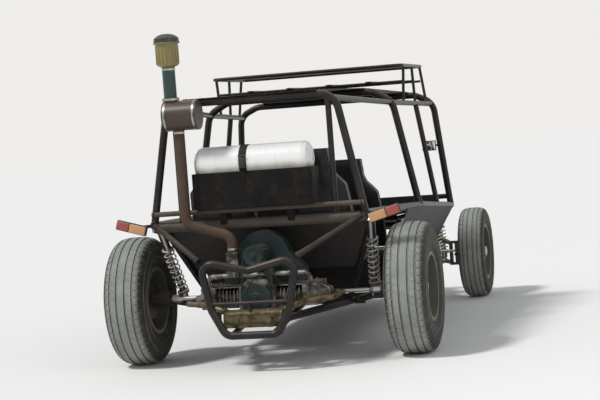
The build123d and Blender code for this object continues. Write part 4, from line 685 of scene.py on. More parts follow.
def fitting(name, slot, *parts, **choices):
    """A piece gathered from parts: kind of shape, its places, then the values of that kind.

    turned: direction, profile, steps; ring: direction, radius, wire, steps, sides; tube: radius;
    bolt: direction, size, height; band: direction, radius, width, thickness;
    slab: half size, rounding; fan: radius, angles, half size, rounding.
    """
    shape = Shape()
    for kind, places, *values in parts:
        for place in places:
            getattr(shape, kind)(place, *values)
    shape.piece(name, slot, **choices)


def mirrored(point, sign):
    """The point on the right side, or its image on the left."""
    return Vector((point[0] * sign, point[1], point[2]))


def both(*points):
    """Points on the right side and their images on the left."""
    return [mirrored(point, sign) for _, sign in SIDES for point in points]


def spaced(first, step, count):
    """Points at equal steps from the first."""
    return [Vector(first) + step * number for number in range(count)]


def bellows(start, crest, dip, step, folds, end):
    """A profile of folds, each one step further along and narrower than the one before."""
    profile = [start]
    for number in range(folds):
        profile += [(along + step[0] * number, r - step[1] * number) for along, r in (crest, dip)]
    return [*profile, end]


def smooth_chain(points, steps):
    """A smooth line through the points, each run divided into equal steps."""
    ends = [points[0], *points, points[-1]]
    line = []
    for before, start, end, after in zip(ends, ends[1:], ends[2:], ends[3:]):
        for step in range(steps):
            t = step / steps
            line.append(tuple(
                0.5 * (2 * b + (c - a) * t + (2 * a - 5 * b + 4 * c - d) * t * t
                       + (3 * b - a - 3 * c + d) * t ** 3)
                for a, b, c, d in zip(before, start, end, after)))
    return [*line, tuple(points[-1])]


def height_on(line, place):
    """The second value of a line of pairs where its falling first value passes a place."""
    for start, end in zip(line, line[1:]):
        if start[0] >= place >= end[0] and start[0] > end[0]:
            share = (start[0] - place) / (start[0] - end[0])
            return start[1] + (end[1] - start[1]) * share
    return line[-1][1]


def skin_of(mesh):
    """A mesh's surface, to find the nearest points on."""
    return BVHTree.FromPolygons([vertex.co for vertex in mesh.vertices],
                                [tuple(face.vertices) for face in mesh.polygons])


# Tyres: rim, rim flange and bead as in the construction
RIM_TOP_R = 0.2043
BEAD_R = 0.1905
RIM_HALF = {"rear": 0.0977, "front": 0.0717}
# Wall and crown from the bead outwards: shares of the half width and of the wall's height
TYRE_WALL = ((0.95, 0.18), (1.0, 0.42), (0.985, 0.62), (0.92, 0.8), (0.8, 0.905), (0.6, 0.968),
             (0.3, 1.0), (0.0, 1.003))
WALL_STEPS = 4
# Raised rings on the wall: share of its height, thickness; and the section's points there
WALL_RINGS = ((0.30, 0.003), (0.62, 0.0025))
RINGED = slice(2, 14)
# Tread from shoulder to crown: share of the half width, share of the cross groove, floor or not
TREAD = ((0.8, 1.0, False), (0.7, 1.0, False), (0.6, 1.0, False), (0.575, 0.45, True),
         (0.535, 0.45, True), (0.51, 0.45, False), (0.38, 0.45, False), (0.25, 0.0, False),
         (0.225, 0.0, True), (0.185, 0.0, True), (0.16, 0.0, False), (0.0, 0.0, False))
GROOVE_DEPTH = {"rear": 0.0055, "front": 0.0045}
GROOVE_FADE = 5
BLOCKS = {"rear": 54, "front": 46}
# Stations over one tread block: share of its pitch, share of the cross groove's depth
BLOCK_STATIONS = ((0.0, 1.0), (0.10, 1.0), (0.14, 0.0), (0.55, 0.0), (0.96, 0.0))
SLANT = 0.9


def wall_radius(radius, share):
    """The radius at a share of a tyre wall's height."""
    return RIM_TOP_R + (radius - RIM_TOP_R) * share


def tyre_section(half, rim_half, radius):
    """Half a section from bead to crown: place across, radius, cross groove's share, floor."""
    line = smooth_chain([(half * wide, wall_radius(radius, tall)) for wide, tall in TYRE_WALL],
                        WALL_STEPS)
    shoulder = next(number for number, (across, _) in enumerate(line)
                    if across <= half * TREAD[0][0] + EDGE)
    section = [(rim_half, BEAD_R, 0.0, False), (rim_half, RIM_TOP_R, 0.0, False)]
    for number, (across, r) in enumerate(line[:shoulder]):
        section.append((across, r, max(0.0, 1 + (number - shoulder) / GROOVE_FADE), False))
    for place, cross, floor in TREAD:
        section.append((half * place, height_on(line[shoulder - 1:], half * place), cross, floor))
    return section


def make_tyre(end, side):
    """A tyre with two grooves each side and slanting cross grooves."""
    node = f"{end}_tyre_{side}"
    low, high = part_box(node)
    middle = (low + high) / 2
    half, radius = (high.x - low.x) / 2, (high.y - low.y) / 2
    depth, blocks = GROOVE_DEPTH[end], BLOCKS[end]
    right = tyre_section(half, RIM_HALF[end], radius)
    section = right + [(-across, r, cross, floor) for across, r, cross, floor in right[-2::-1]]
    rows = []
    for block in range(blocks):
        for share, groove in BLOCK_STATIONS:
            row = []
            for across, r, cross, floor in section:
                slant = SLANT * across / half if cross else 0.0
                turn = 2 * pi * (block + share + slant) / blocks
                sunk = r - (depth if floor else depth * groove * cross)
                row.append(middle + Vector((across, sunk * cos(turn), sunk * sin(turn))))
            rows.append(row)
    shape = Shape()
    shape.net(rows, closed=True)
    for share, wire in WALL_RINGS:
        ring_r = wall_radius(radius, share)
        across = height_on([(r, x) for x, r, _, _ in reversed(right[RINGED])], ring_r)
        for out in (across, -across):
            shape.ring(middle + RIGHT * out, RIGHT, ring_r, wire, steps=96, sides=6)
    shape.piece(f"{end}_tread_{side}", "tyre_rubber", body=f"{end}_wheel_{side}",
                replaces=(node,))


# Wheels: places out from the wheel's middle, the disc's seam, nuts, profiles along the axle
DISC_OUT = 0.036
NUTS_OUT = 0.044
CAP_OUT = 0.070
SEAM_R = 0.180
SEAM_WIRE_R = 0.0035
NUTS_AT_R = 0.056
NUT_SIZE = 0.0115
NUT_TALL = 0.015
HUB_CAP = ((0.0, 0.036), (0.004, 0.03384), (0.008, 0.0252), (0.010, 0.0108))
VALVE_AT_R = 0.172
VALVE = ((0.0, 0.008), (0.006, 0.0065), (0.012, 0.004), (0.034, 0.004), (0.034, 0.005),
         (0.042, 0.005))


def make_wheel_trim(end, side, sign):
    """Wheel nuts, a domed hub cap, a valve and a bead of weld round the disc."""
    middle, out = middle_of(f"{end}_tyre_{side}"), RIGHT * sign
    disc, body = middle + out * DISC_OUT, f"{end}_wheel_{side}"
    nuts = circle(middle + out * NUTS_OUT, FORWARD, UP, NUTS_AT_R, 5, 0.25)
    fitting(f"{end}_wheel_nuts_{side}", "bright_steel",
            ("bolt", nuts, out, NUT_SIZE, NUT_TALL),
            ("turned", [middle + out * CAP_OUT], out, HUB_CAP, 32), body=body)
    fitting(f"{end}_wheel_valve_{side}", "wheel_steel",
            ("turned", [disc + UP * VALVE_AT_R], out, VALVE, 12),
            ("ring", [disc], out, SEAM_R, SEAM_WIRE_R, 72, 6), body=body)


# Seats, as in the construction
SEAT_X = 0.290
SEAT_HALF = 0.220
PAD_THICK = 0.110
BACK_LEAN = 0.36
BACK_RISE = 0.620
BACK_TOP_SHARE = 0.8
BACK_GAP = 0.0006
BACK_OUTLINE = ((0.0, 0.212), (0.3, 0.220), (0.62, 0.206), (0.76, 0.132), (1.0, 0.116))
CUSHION_NOSE = 0.035
SEATS = {
    "front": {"rear": -0.280, "front": 0.190, "z": 0.410},
    "rear": {"rear": -1.200, "front": -0.760, "z": 0.508},
}
# Padding blown up as cloth: the plain pad's inset, how far points may move, net, pressure, time
PAD_INSET = 0.012
PAD_CAP = 0.014
PAD_FOOT = 0.0005
VOXEL = 0.011
CLOTH_PRESSURE = 4.0
CLOTH_FRAMES = 20
# Sewn channels in a sunk panel between the bolsters
PLEAT_PITCH = 0.048
PLEAT_WIDTH = 0.0055
PLEAT_DEPTH = 0.007
BOLSTER_FROM = 0.56
BOLSTER_TO = 0.74
FACING_FROM = 0.35
FACING_FULL = 0.8
PANEL_SINK = 0.014
PANEL_FADE = 0.03
BACK_PANEL_FROM = 0.05
BACK_PANEL_SHARE = 0.66
CUSHION_PANEL_FROM = 0.09
PIPING_R = 0.0045
PIPING_SUNK = 0.001
RIM_GAP = 0.02


def play_cloth(step):
    """Blows cloth up a little, without gravity."""
    step.settings.use_pressure = True
    step.settings.uniform_pressure_force = CLOTH_PRESSURE
    step.settings.effector_weights.gravity = 0.0
    step.point_cache.frame_end = CLOTH_FRAMES
    for number in range(1, CLOTH_FRAMES + 1):
        bpy.context.scene.frame_set(number)


def baked(mesh, kind, **settings):
    """The mesh with one modifier applied."""
    holder = placed("holder", mesh)
    step = holder.modifiers.new(kind, kind)
    for name, value in settings.items():
        setattr(step, name, value)
    if kind == "CLOTH":
        play_cloth(step)
    else:
        bpy.context.view_layer.update()
    shown = holder.evaluated_get(bpy.context.evaluated_depsgraph_get())
    result = bpy.data.meshes.new_from_object(shown)
    bpy.data.objects.remove(holder)
    return result


def swollen(mesh):
    """A closed pad's mesh blown up as cloth, no point moving further than the cap."""
    net = baked(mesh, "REMESH", mode="VOXEL", voxel_size=VOXEL)
    starts = [vertex.co.copy() for vertex in net.vertices]
    full = baked(net, "CLOTH")
    bpy.context.scene.frame_set(1)
    for vertex, start in zip(full.vertices, starts):
        move = vertex.co - start
        if move.length > PAD_CAP:
            vertex.co = start + move * (PAD_CAP / move.length)
    return baked(full, "SUBSURF", levels=1, render_levels=1)


def eased(value, low, high):
    """0 below low, 1 above high, smooth between."""
    share = min(1.0, max(0.0, (value - low) / (high - low)))
    return share * share * (3 - 2 * share)


def pleated(mesh, face_axis, run_axis, half_at, run_low, run_high):
    """Sinks the middle of the face that looks along an axis, with channels along another."""
    facings = [eased(vertex.normal[face_axis], FACING_FROM, FACING_FULL) for vertex in mesh.vertices]
    for vertex, facing in zip(mesh.vertices, facings):
        place, run = vertex.co.x, vertex.co[run_axis]
        half = half_at(run)
        inner = 1.0 - eased(abs(place), half * BOLSTER_FROM, half * BOLSTER_TO)
        inner *= eased(run, run_low, run_low + PANEL_FADE)
        inner *= 1.0 - eased(run, run_high - PANEL_FADE, run_high)
        off = (place + PLEAT_PITCH / 2) % PLEAT_PITCH - PLEAT_PITCH / 2
        groove = exp(-(off / PLEAT_WIDTH) ** 2) * PLEAT_DEPTH
        vertex.co[face_axis] -= facing * inner * (PANEL_SINK + groove)
    return mesh


def back_half(share):
    """Half width of a seat back at a share of its rise."""
    for (low, half), (high, other) in zip(BACK_OUTLINE, BACK_OUTLINE[1:]):
        if share <= high:
            return half + (other - half) * (share - low) / (high - low)
    return BACK_OUTLINE[-1][1]


def back_points(inset):
    """Outline of a back, upright, counted from its foot's middle."""
    right = [(half - inset, min(max(share * BACK_RISE, inset), BACK_RISE - inset))
             for share, half in BACK_OUTLINE]
    return right + [(-x, z) for x, z in reversed(right)]


def make_back():
    """A seat back's pad, upright, its rear face at y 0."""
    shape = Shape()
    shape.net([[(x, y, z) for x, z in back_points(PAD_INSET)]
               for y in (PAD_INSET, PAD_THICK - PAD_INSET)])
    return pleated(swollen(shape.mesh()), 1, 2, lambda z: back_half(z / BACK_RISE),
                   BACK_PANEL_FROM, BACK_RISE * BACK_PANEL_SHARE)


def cushion_depth(place):
    """How far a cushion reaches from the back's foot to its front edge."""
    return place["front"] - place["rear"] + BACK_LEAN * PAD_THICK


def make_cushion(deep):
    """A seat cushion's pad, its underside at z 0 and its rear edge at y 0."""
    top, front = PAD_THICK - PAD_INSET, deep - PAD_INSET
    outline = [(PAD_INSET, PAD_INSET), (deep - CUSHION_NOSE, PAD_INSET), (front, CUSHION_NOSE),
               (front, top), (PAD_INSET, top)]
    shape = Shape()
    shape.net([[(x, y, z) for y, z in outline]
               for x in (PAD_INSET - SEAT_HALF, SEAT_HALF - PAD_INSET)])
    pad = swollen(shape.mesh())
    for vertex in pad.vertices:
        vertex.co.z = max(vertex.co.z, PAD_FOOT)
    return pleated(pad, 2, 1, lambda _: SEAT_HALF, CUSHION_PANEL_FROM, deep - PANEL_FADE)


def seated(point, place, sign):
    """A point of a cushion moved into its place."""
    x, y, z = point
    return Vector((SEAT_X * sign + x, place["rear"] - BACK_LEAN * PAD_THICK + y, place["z"] + z))


def leaned(point, place, sign):
    """A point of an upright back leaned into its place on the cushion."""
    x, y, z = point
    thin = 1.0 - (1.0 - BACK_TOP_SHARE) * z / BACK_RISE
    return seated((x, y * thin - BACK_LEAN * z, PAD_THICK + BACK_GAP + z), place, sign)


def divided_rim(outline):
    """A closed outline's points with more between them."""
    rim = []
    for start, end in zip(outline, [*outline[1:], outline[0]]):
        steps = max(1, round(dist(start, end) / RIM_GAP))
        rim += [Vector(start).lerp(Vector(end), step / steps) for step in range(steps)]
    return rim


def piped(shape, mesh, rim):
    """Piping laid on a pad's surface along a rim of points."""
    skin = skin_of(mesh)
    path = []
    for point in rim:
        near, normal, _, _ = skin.find_nearest(point)
        path.append(near - normal * PIPING_SUNK)
    shape.tube(path, PIPING_R, closed=True)


def make_seats():
    """Four bucket seats: padded cushions and backs with piping."""
    back = make_back()
    back_rims = [[(x, y, z) for x, z in divided_rim(back_points(0.0))] for y in (0.0, PAD_THICK)]
    for row, place in SEATS.items():
        deep = cushion_depth(place)
        edge = [(-SEAT_HALF, 0.0), (SEAT_HALF, 0.0), (SEAT_HALF, deep), (-SEAT_HALF, deep)]
        cushion_rims = [[(x, y, PAD_THICK) for x, y in divided_rim(edge)]]
        cushion = make_cushion(deep)
        piping = Shape()
        for side, sign in SIDES:
            for part, source, moved, rims in (("back", back, leaned, back_rims),
                                              ("cushion", cushion, seated, cushion_rims)):
                mesh = source.copy()
                for vertex in mesh.vertices:
                    vertex.co = moved(vertex.co, place, sign)
                mesh.shade_smooth()
                pad = add_piece(f"{row}_seat_{part}_{side}", mesh, "seat_vinyl",
                                replaces=(f"{row}_seats",))
                for rim in rims:
                    piped(piping, mesh, [moved(point, place, sign) for point in rim])
        piping.piece(f"{row}_seat_piping", "seat_vinyl")


# Springs and dampers, right side: lower eye, upper eye
SHOCKS = (
    ((0.5766, -1.2300, 0.3400), (0.6337, -1.5000, 0.8352)),
    ((0.5474, 1.6092, 0.2610), (0.5000, 1.6900, 0.6260)),
)
SPRING_FROM = 0.16
SPRING_TO = 0.68
SPRING_R = 0.0315
SPRING_WIRE_R = 0.0046
SPRING_TURNS = 8
COIL_STEPS = 22
# Damper from eye to eye: share of its length, radius
DAMPER = ((0.0, 0.011), (0.06, 0.012), (0.07, 0.020), (0.14, 0.021), (0.145, 0.036), (0.16, 0.036),
          (0.163, 0.019), (0.45, 0.019), (0.455, 0.013), (0.675, 0.013), (0.68, 0.036),
          (0.695, 0.036), (0.70, 0.024), (0.93, 0.024), (0.945, 0.012), (1.0, 0.011))
SHOCK_EYE = ((-0.016, 0.017), (0.016, 0.017))


def make_shocks():
    """Coil springs on dampers, which take the plain turned ones' place."""
    springs, dampers = Shape(), Shape()
    count = SPRING_TURNS * COIL_STEPS
    for low, high in SHOCKS:
        for _, sign in SIDES:
            start, end = mirrored(low, sign), mirrored(high, sign)
            axis = end - start
            winding = circle(start + axis * SPRING_FROM, *square_to(axis), SPRING_R, COIL_STEPS)
            rise = axis * (SPRING_TO - SPRING_FROM) / count
            springs.tube([winding[step % COIL_STEPS] + rise * step for step in range(count + 1)],
                         SPRING_WIRE_R)
            dampers.turned(start, axis, scaled(DAMPER, axis.length, 1.0), 28)
            for eye in (start, end):
                dampers.turned(eye, RIGHT, SHOCK_EYE, 20)
    springs.piece("coil_springs", "shock_steel", replaces=("shock_absorbers",))
    dampers.piece("dampers", "shock_steel", replaces=("shock_absorbers",), finish="bright_steel")


# Frame tubes, right side, that meet with a visible bead of weld: from, to, radius
MAIN_R = 0.022
SIDE_R = 0.017
WAIST = ((0.626, -1.590, 0.838), (0.728, -0.390, 0.800), MAIN_R)
REAR_HOOP = ((0.495, -1.590, 1.528), (0.626, -1.590, 0.838), MAIN_R)
REAR_HOOP_TOP = ((0.0, -1.590, 1.528), (0.495, -1.590, 1.528), MAIN_R)
MAIN_HOOP = ((0.600, -0.390, 1.462), (0.728, -0.390, 0.800), MAIN_R)
GUARD = ((0.280, -1.908, 0.640), (-0.280, -1.908, 0.640), MAIN_R)
GUARD_STAY = ((0.626, -1.590, 0.838), (0.280, -1.908, 0.640), SIDE_R)
BEAM = ((0.0, -1.590, 0.822), (0.626, -1.590, 0.822), 0.030)
SHELF = ((0.0, -1.6223, 0.902), (0.626, -1.6223, 0.902), 0.015)
UPRIGHT = ((0.455, -1.590, 1.528), (0.455, -1.590, 0.822), SIDE_R)
LEG = ((0.4057, -1.180, 0.300), (0.6396, -1.430, 0.8329), SIDE_R)
SIDE_UPRIGHT = ((0.490, -0.390, 0.300), (0.728, -0.390, 0.800), SIDE_R)
REAR_RAIL = ((0.194, -1.908, 0.300), (0.490, -0.890, 0.300), MAIN_R)
SIDE_RAIL = ((0.490, -0.890, 0.300), (0.490, 0.740, 0.300), MAIN_R)
# Each welded tube, the tube that its start meets and the tube that its end meets
WELDS = (
    (GUARD_STAY, WAIST, GUARD),
    (BEAM, None, REAR_HOOP),
    (SHELF, None, REAR_HOOP),
    (UPRIGHT, REAR_HOOP_TOP, BEAM),
    (LEG, REAR_RAIL, WAIST),
    (REAR_HOOP, None, WAIST),
    (MAIN_HOOP, None, WAIST),
    (SIDE_UPRIGHT, SIDE_RAIL, WAIST),
)
WELD_R = 0.0032
WELD_STEPS = 40


def weld_path(start, end, radius, main_start, main_end, main_radius):
    """Where a tube's skin, followed from its start, first meets the main tube's."""
    ahead = (end - start).normalized()
    main = (main_end - main_start).normalized()
    flat = ahead - main * ahead.dot(main)
    path = []
    for skin in circle(start, *square_to(ahead), radius, WELD_STEPS):
        off = (skin - main_start) - main * (skin - main_start).dot(main)
        a, b, c = flat.dot(flat), 2 * off.dot(flat), off.dot(off) - main_radius ** 2
        under = max(0.0, b * b - 4 * a * c)
        path.append(skin + ahead * ((-b - sqrt(under)) / (2 * a)))
    return path


def make_welds():
    """Beads of weld where the frame's tubes meet."""
    shape = Shape()
    for (start, end, radius), at_start, at_end in WELDS:
        for far, near, main in ((end, start, at_start), (start, end, at_end)):
            if main is None:
                continue
            for _, sign in SIDES:
                ends = [mirrored(point, sign) for point in (far, near)]
                main_ends = [mirrored(point, sign) for point in main[:2]]
                path = weld_path(*ends, radius, *main_ends, main[2])
                shape.tube(path, WELD_R, 6, closed=True)
    shape.piece("weld_beads", "black_paint")


# Rivets: radius, how far they sink into the sheet
RIVET_R = 0.0045
RIVET_SUNK = 0.0005


def rivet_rows(name, node, slot, rows):
    """Rivets on a sheet: each row runs between two points that are dropped onto the sheet."""
    skin = skin_of(frame["nodes"][node].data)
    shape = Shape()
    for start, end, count in rows:
        for _, sign in SIDES:
            for number in range(count):
                point = Vector(start).lerp(Vector(end), number / (count - 1))
                near, normal, _, _ = skin.find_nearest(mirrored(point, sign))
                shape.turned(near - normal * RIVET_SUNK, normal, scaled(DOME, RIVET_R, RIVET_R), 10)
    shape.piece(name, slot)


def make_rivets():
    """Rivets along the side panels, the nose, the roof and the tank's tray."""
    rivet_rows("side_panel_rivets", "side_panels", "panel_blue_black", (
        ((0.740, -0.750, 0.790), (0.800, -0.390, 0.785), 4),
        ((0.800, -0.380, 0.785), (0.800, 0.690, 0.712), 11),
        ((0.560, -0.750, 0.315), (0.560, 0.690, 0.315), 15),
        ((0.640, -0.755, 0.350), (0.760, -0.755, 0.760), 4),
        ((0.640, 0.695, 0.350), (0.780, 0.695, 0.690), 4)))
    rivet_rows("nose_rivets", "nose_panel", "panel_blue_black", (
        ((0.680, 0.815, 0.90), (0.262, 1.270, 0.80), 8),
        ((0.255, 1.300, 0.80), (0.205, 1.810, 0.70), 8)))
    low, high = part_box("roof_panel")
    rivet_rows("roof_rivets", "roof_panel", "roof_skin", (
        ((0.385, low.y + 0.015, 1.8), (0.420, -0.390, 1.8), 12),
        ((0.425, -0.330, 1.8), (0.510, high.y - 0.015, 1.8), 10),
        ((0.0, low.y + 0.012, 1.8), (0.37, low.y + 0.012, 1.8), 5),
        ((0.0, high.y - 0.012, 1.8), (0.49, high.y - 0.012, 1.8), 6)))
    low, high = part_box("tank_tray")
    rear, side = low.y - 0.02, high.x - 0.012
    rivet_rows("tray_rivets", "tank_tray", "tray_black", (
        ((0.03, rear, 0.932), (high.x - 0.02, rear, 0.932), 7),
        ((0.03, rear, 1.110), (high.x - 0.02, rear, 1.110), 7),
        ((side, rear, 0.96), (side, rear, 1.08), 4)))


# Engine and transaxle, as in the construction: middles, then radii on which holes and bolts lie
CRANK_PULLEY = Vector((0, -1.776, 0.405))
ALTERNATOR_PULLEY = Vector((0, -1.776, 0.642))
ALTERNATOR_END = Vector((0, -1.730, 0.642))
FILLER_FOOT = (-0.068, -1.655, 0.480)
DISTRIBUTOR_FOOT = Vector((0.070, -1.700, 0.482))
BELL = Vector((0, -1.410, 0.405))
DIFFERENTIAL = Vector((0, -1.340, 0.380))
CRANK_HOLES_R = 0.050
LONG_BOLTS_R = 0.058
LEADS_R = 0.019
BELL_BOLTS_R = 0.138
COVER_BOLTS_R = 0.076
COVER_X = 0.096
# Profiles along their axis: distance, radius
CRANK_FACE = ((-0.001, 0.083), (0.004, 0.083), (0.004, 0.074), (0.0012, 0.070), (0.0012, 0.032),
              (0.006, 0.028), (0.006, 0.001))
CRANK_HOLE_RIM = ((0.0, 0.0095), (0.003, 0.0095), (0.003, 0.007), (0.0, 0.007))
ALTERNATOR_FACE = ((-0.001, 0.054), (0.004, 0.054), (0.004, 0.046), (0.001, 0.042),
                   (0.001, 0.020), (0.005, 0.018), (0.005, 0.001))
LONG_BOLT = ((-0.001, 0.007), (-0.070, 0.007))
FILLER = ((0.0, 0.024), (0.012, 0.024), (0.014, 0.018), (0.055, 0.018), (0.058, 0.024),
          (0.070, 0.024), (0.073, 0.020))
DISTRIBUTOR = ((0.0, 0.020), (0.045, 0.020), (0.048, 0.031), (0.070, 0.031), (0.086, 0.024),
               (0.090, 0.010))
LEAD_TOWER = ((0.0, 0.006), (0.018, 0.006), (0.020, 0.004))
COIL_TOWER = ((0.0, 0.006), (0.020, 0.006), (0.022, 0.004))
SHAFT_BOOT = bellows((0.190, 0.0405), (0.192, 0.0435), (0.1965, 0.0365), (0.0095, 0.0055), 4,
                     (0.231, 0.0155))
# A rocker clip from above to below the cover: pairs of x and z, and its place along
CLIP = ((0.342, 0.447), (0.370, 0.432), (0.382, 0.415), (0.382, 0.377), (0.372, 0.360),
        (0.342, 0.349))
CLIP_Y = -1.5803


def make_pulleys():
    """Faces of the crank pulley and the alternator's pulley, and the alternator's end frame."""
    crank_holes = circle(CRANK_PULLEY, RIGHT, UP, CRANK_HOLES_R, 6)
    fitting("pulley_faces", "fan_black",
            ("turned", [CRANK_PULLEY], REARWARD, CRANK_FACE, 48),
            ("turned", crank_holes, REARWARD, CRANK_HOLE_RIM, 16),
            ("bolt", [CRANK_PULLEY + REARWARD * 0.006], REARWARD, 0.015, 0.014),
            ("turned", [ALTERNATOR_PULLEY], REARWARD, ALTERNATOR_FACE, 40),
            ("bolt", [ALTERNATOR_PULLEY + REARWARD * 0.005], REARWARD, 0.011, 0.012))
    long_bolts = circle(ALTERNATOR_END, RIGHT, UP, LONG_BOLTS_R, 3, 0.25)
    fitting("alternator_end", "engine_alloy",
            ("ring", [ALTERNATOR_END], REARWARD, 0.052, 0.004),
            ("ring", [ALTERNATOR_END], REARWARD, 0.024, 0.004, 36),
            ("fan", [ALTERNATOR_END], 0.038, range(0, 360, 30), (0.003, 0.003, 0.013), 0.001),
            ("turned", long_bolts, REARWARD, LONG_BOLT, 12),
            ("bolt", long_bolts, REARWARD, 0.005, 0.006))


def make_engine_details():
    """Fins, bolts, sump ribs and oil filler, then the rocker clips and the distributor."""
    fins = spaced((0.2975, -1.7138, 0.3655), UP * 0.021, 5)
    head_bolts = spaced((0.285, -1.6903, 0.469), FORWARD * 0.110, 3)
    case_bolts = ((0.092, -1.750, 0.320), (0.092, -1.750, 0.375), (0.092, -1.750, 0.450))
    port_bolts = ((0.270, -1.7163, 0.384), (0.330, -1.7163, 0.384))
    sump_ribs = spaced((0, -1.727, 0.2865), FORWARD * 0.06, 4)
    fitting("engine_fittings", "engine_alloy",
            ("slab", both(*fins), (0.0385, 0.0055, 0.0025), 0.0012),
            ("bolt", both(*head_bolts), UP, 0.006, 0.008),
            ("bolt", both(*case_bolts), REARWARD, 0.0065, 0.009),
            ("bolt", both(*port_bolts), REARWARD, 0.006, 0.010),
            ("slab", sump_ribs, (0.05, 0.003, 0.0065), 0.001),
            ("turned", [FILLER_FOOT], UP, FILLER))
    clips = [[Vector((sign * x, CLIP_Y, z)) for x, z in smooth_chain(CLIP, 4)] for _, sign in SIDES]
    fitting("rocker_clips", "bright_steel", ("tube", clips, 0.0028))
    leads = circle(DISTRIBUTOR_FOOT + UP * 0.074, RIGHT, FORWARD, LEADS_R, 4, 0.5)
    fitting("distributor", "control_black",
            ("turned", [DISTRIBUTOR_FOOT], UP, DISTRIBUTOR),
            ("turned", leads, UP, LEAD_TOWER, 12),
            ("turned", [DISTRIBUTOR_FOOT + UP * 0.084], UP, COIL_TOWER, 12))


# Air intake, as in the construction: places of its bands, and heights on its bowl below the top
CANISTER_BANDS = ((-0.455, -1.715, 1.462), (-0.285, -1.715, 1.462))
STEM_BAND = (-0.430, -1.715, 1.557)
HOSE_BANDS = ((-0.395, -1.715, 1.365), (-0.140, -1.685, 0.684))
BOWL_X, BOWL_Y = -0.430, -1.715
BOWL_BAND_BELOW = 0.202
BOWL_RIBS_BELOW = 0.172
BOWL_RIM_BELOW = 0.052
BOWL_RIBS_R = 0.0635
BOWL_RIB = ((0.0, 0.0028), (0.105, 0.0034))
# Exhaust, right side, as in the construction
PORT_BAND = (0.300, -1.7343, 0.384)
PORT_FLANGE = (0.300, -1.7136, 0.384)
SILENCER_SEAM = (0.168, -1.825, 0.300)
SILENCER_BAND = (0.085, -1.825, 0.300)


def make_clamps():
    """Bands on the air intake, ribs of its bowl, and the exhaust's bands, flanges and seams."""
    top = Vector((BOWL_X, BOWL_Y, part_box("air_cleaner")[1].z))
    fitting("intake_bands", "bright_steel",
            ("band", CANISTER_BANDS, RIGHT, 0.0848),
            ("band", [STEM_BAND], UP, 0.0478),
            ("band", [top - UP * BOWL_BAND_BELOW], UP, 0.0372),
            ("band", HOSE_BANDS, UP, 0.0298))
    ribs = circle(top - UP * BOWL_RIBS_BELOW, RIGHT, FORWARD, BOWL_RIBS_R, 18)
    fitting("pre_cleaner_ribs", "intake_olive",
            ("turned", ribs, UP, BOWL_RIB, 8),
            ("ring", [top - UP * BOWL_RIM_BELOW], UP, 0.0740, 0.0035, 56))
    fitting("exhaust_bands", "exhaust_steel",
            ("band", both(PORT_BAND), REARWARD, 0.0188, 0.014, 0.002),
            ("slab", both(PORT_FLANGE), (0.042, 0.0029, 0.026), 0.002),
            ("ring", both(SILENCER_SEAM), RIGHT, 0.0515, 0.0030, 56),
            ("band", both(SILENCER_BAND), RIGHT, 0.0518, 0.022, 0.002))


def make_transaxle_details():
    """Boots on the half shafts' inner joints, bolts of the bell housing and of the side covers."""
    for side, sign in SIDES:
        fitting(f"shaft_boot_{side}", "bright_steel",
                ("turned", [DIFFERENTIAL], RIGHT * sign, SHAFT_BOOT, 32),
                body=f"rear_wheel_{side}", finish="belt_rubber")
    bell_bolts = circle(BELL, RIGHT, UP, BELL_BOLTS_R, 10, 0.5)
    cover_bolts = circle(DIFFERENTIAL + RIGHT * COVER_X, FORWARD, UP, COVER_BOLTS_R, 8)
    fitting("transaxle_bolts", "bright_steel", ("bolt", bell_bolts, FORWARD, 0.007, 0.009),
            *(("bolt", [mirrored(place, sign) for place in cover_bolts], RIGHT * sign, 0.0065, 0.009)
              for _, sign in SIDES))


# Tank, as in the construction
TANK = Vector((0, -1.590, 1.171))
TANK_SEAM_X = 0.300
CLASP_X = -0.045
CLASP_PLATE = Vector((0, -0.0065, 0.002))
CLASP_HINGE = Vector((0, -0.010, 0.040))
CLASP_BOLT = Vector((0, -0.012, -0.014))
CLASP_PIN = ((-0.020, 0.0045), (0.020, 0.0045))
CAP_X = 0.215
CAP_R = 0.0302
CAP_DEEP = 0.013
CAP_GRIP = ((0.0, 0.0018), (0.012, 0.0018))


def make_tank_details():
    """Weld seams of the tank's ends, the strap's clasp and the grips of the cap."""
    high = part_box("fuel_tank")[1]
    radius = high.z - TANK.z
    fitting("tank_seams", "tank_white",
            ("ring", both(TANK + RIGHT * TANK_SEAM_X), RIGHT, radius, 0.0018, 72, 6))
    rear = TANK + RIGHT * CLASP_X + REARWARD * radius
    fitting("strap_clasp", "tray_black",
            ("slab", [rear + CLASP_PLATE], (0.017, 0.0055, 0.032), 0.003),
            ("turned", [rear + CLASP_HINGE], RIGHT, CLASP_PIN, 12),
            ("bolt", [rear + CLASP_BOLT], REARWARD, 0.006, 0.007),
            finish="arm_steel")
    grips = circle((CAP_X, high.y - CAP_DEEP, TANK.z), RIGHT, UP, CAP_R, 24)
    fitting("tank_cap_grip", "tank_white",
            ("turned", grips, FORWARD, CAP_GRIP, 6), finish="control_black")


# Tail lamps, right side, as in the construction
LAMP_CENTRE = (0.745, -1.660, 0.836)
LAMP_TILT = radians(16.0)
LAMP_STEM = ((0.64138, -1.5772, 0.8368), (0.6925, -1.646, 0.836))
LAMP_STEM_R = 0.010
# Parts of a lamp in its own frame: name, finish, middle, half size, rounding
LAMP_PARTS = (
    ("shells", "control_black", (0.0, 0.007, 0.0), (0.0925, 0.013, 0.029), 0.006),
    ("amber", "lamp_amber", (-0.039, -0.012, 0.0), (0.0495, 0.008, 0.025), 0.005),
    ("red", "lamp_red", (0.051, -0.012, 0.0), (0.0375, 0.008, 0.025), 0.005),
)


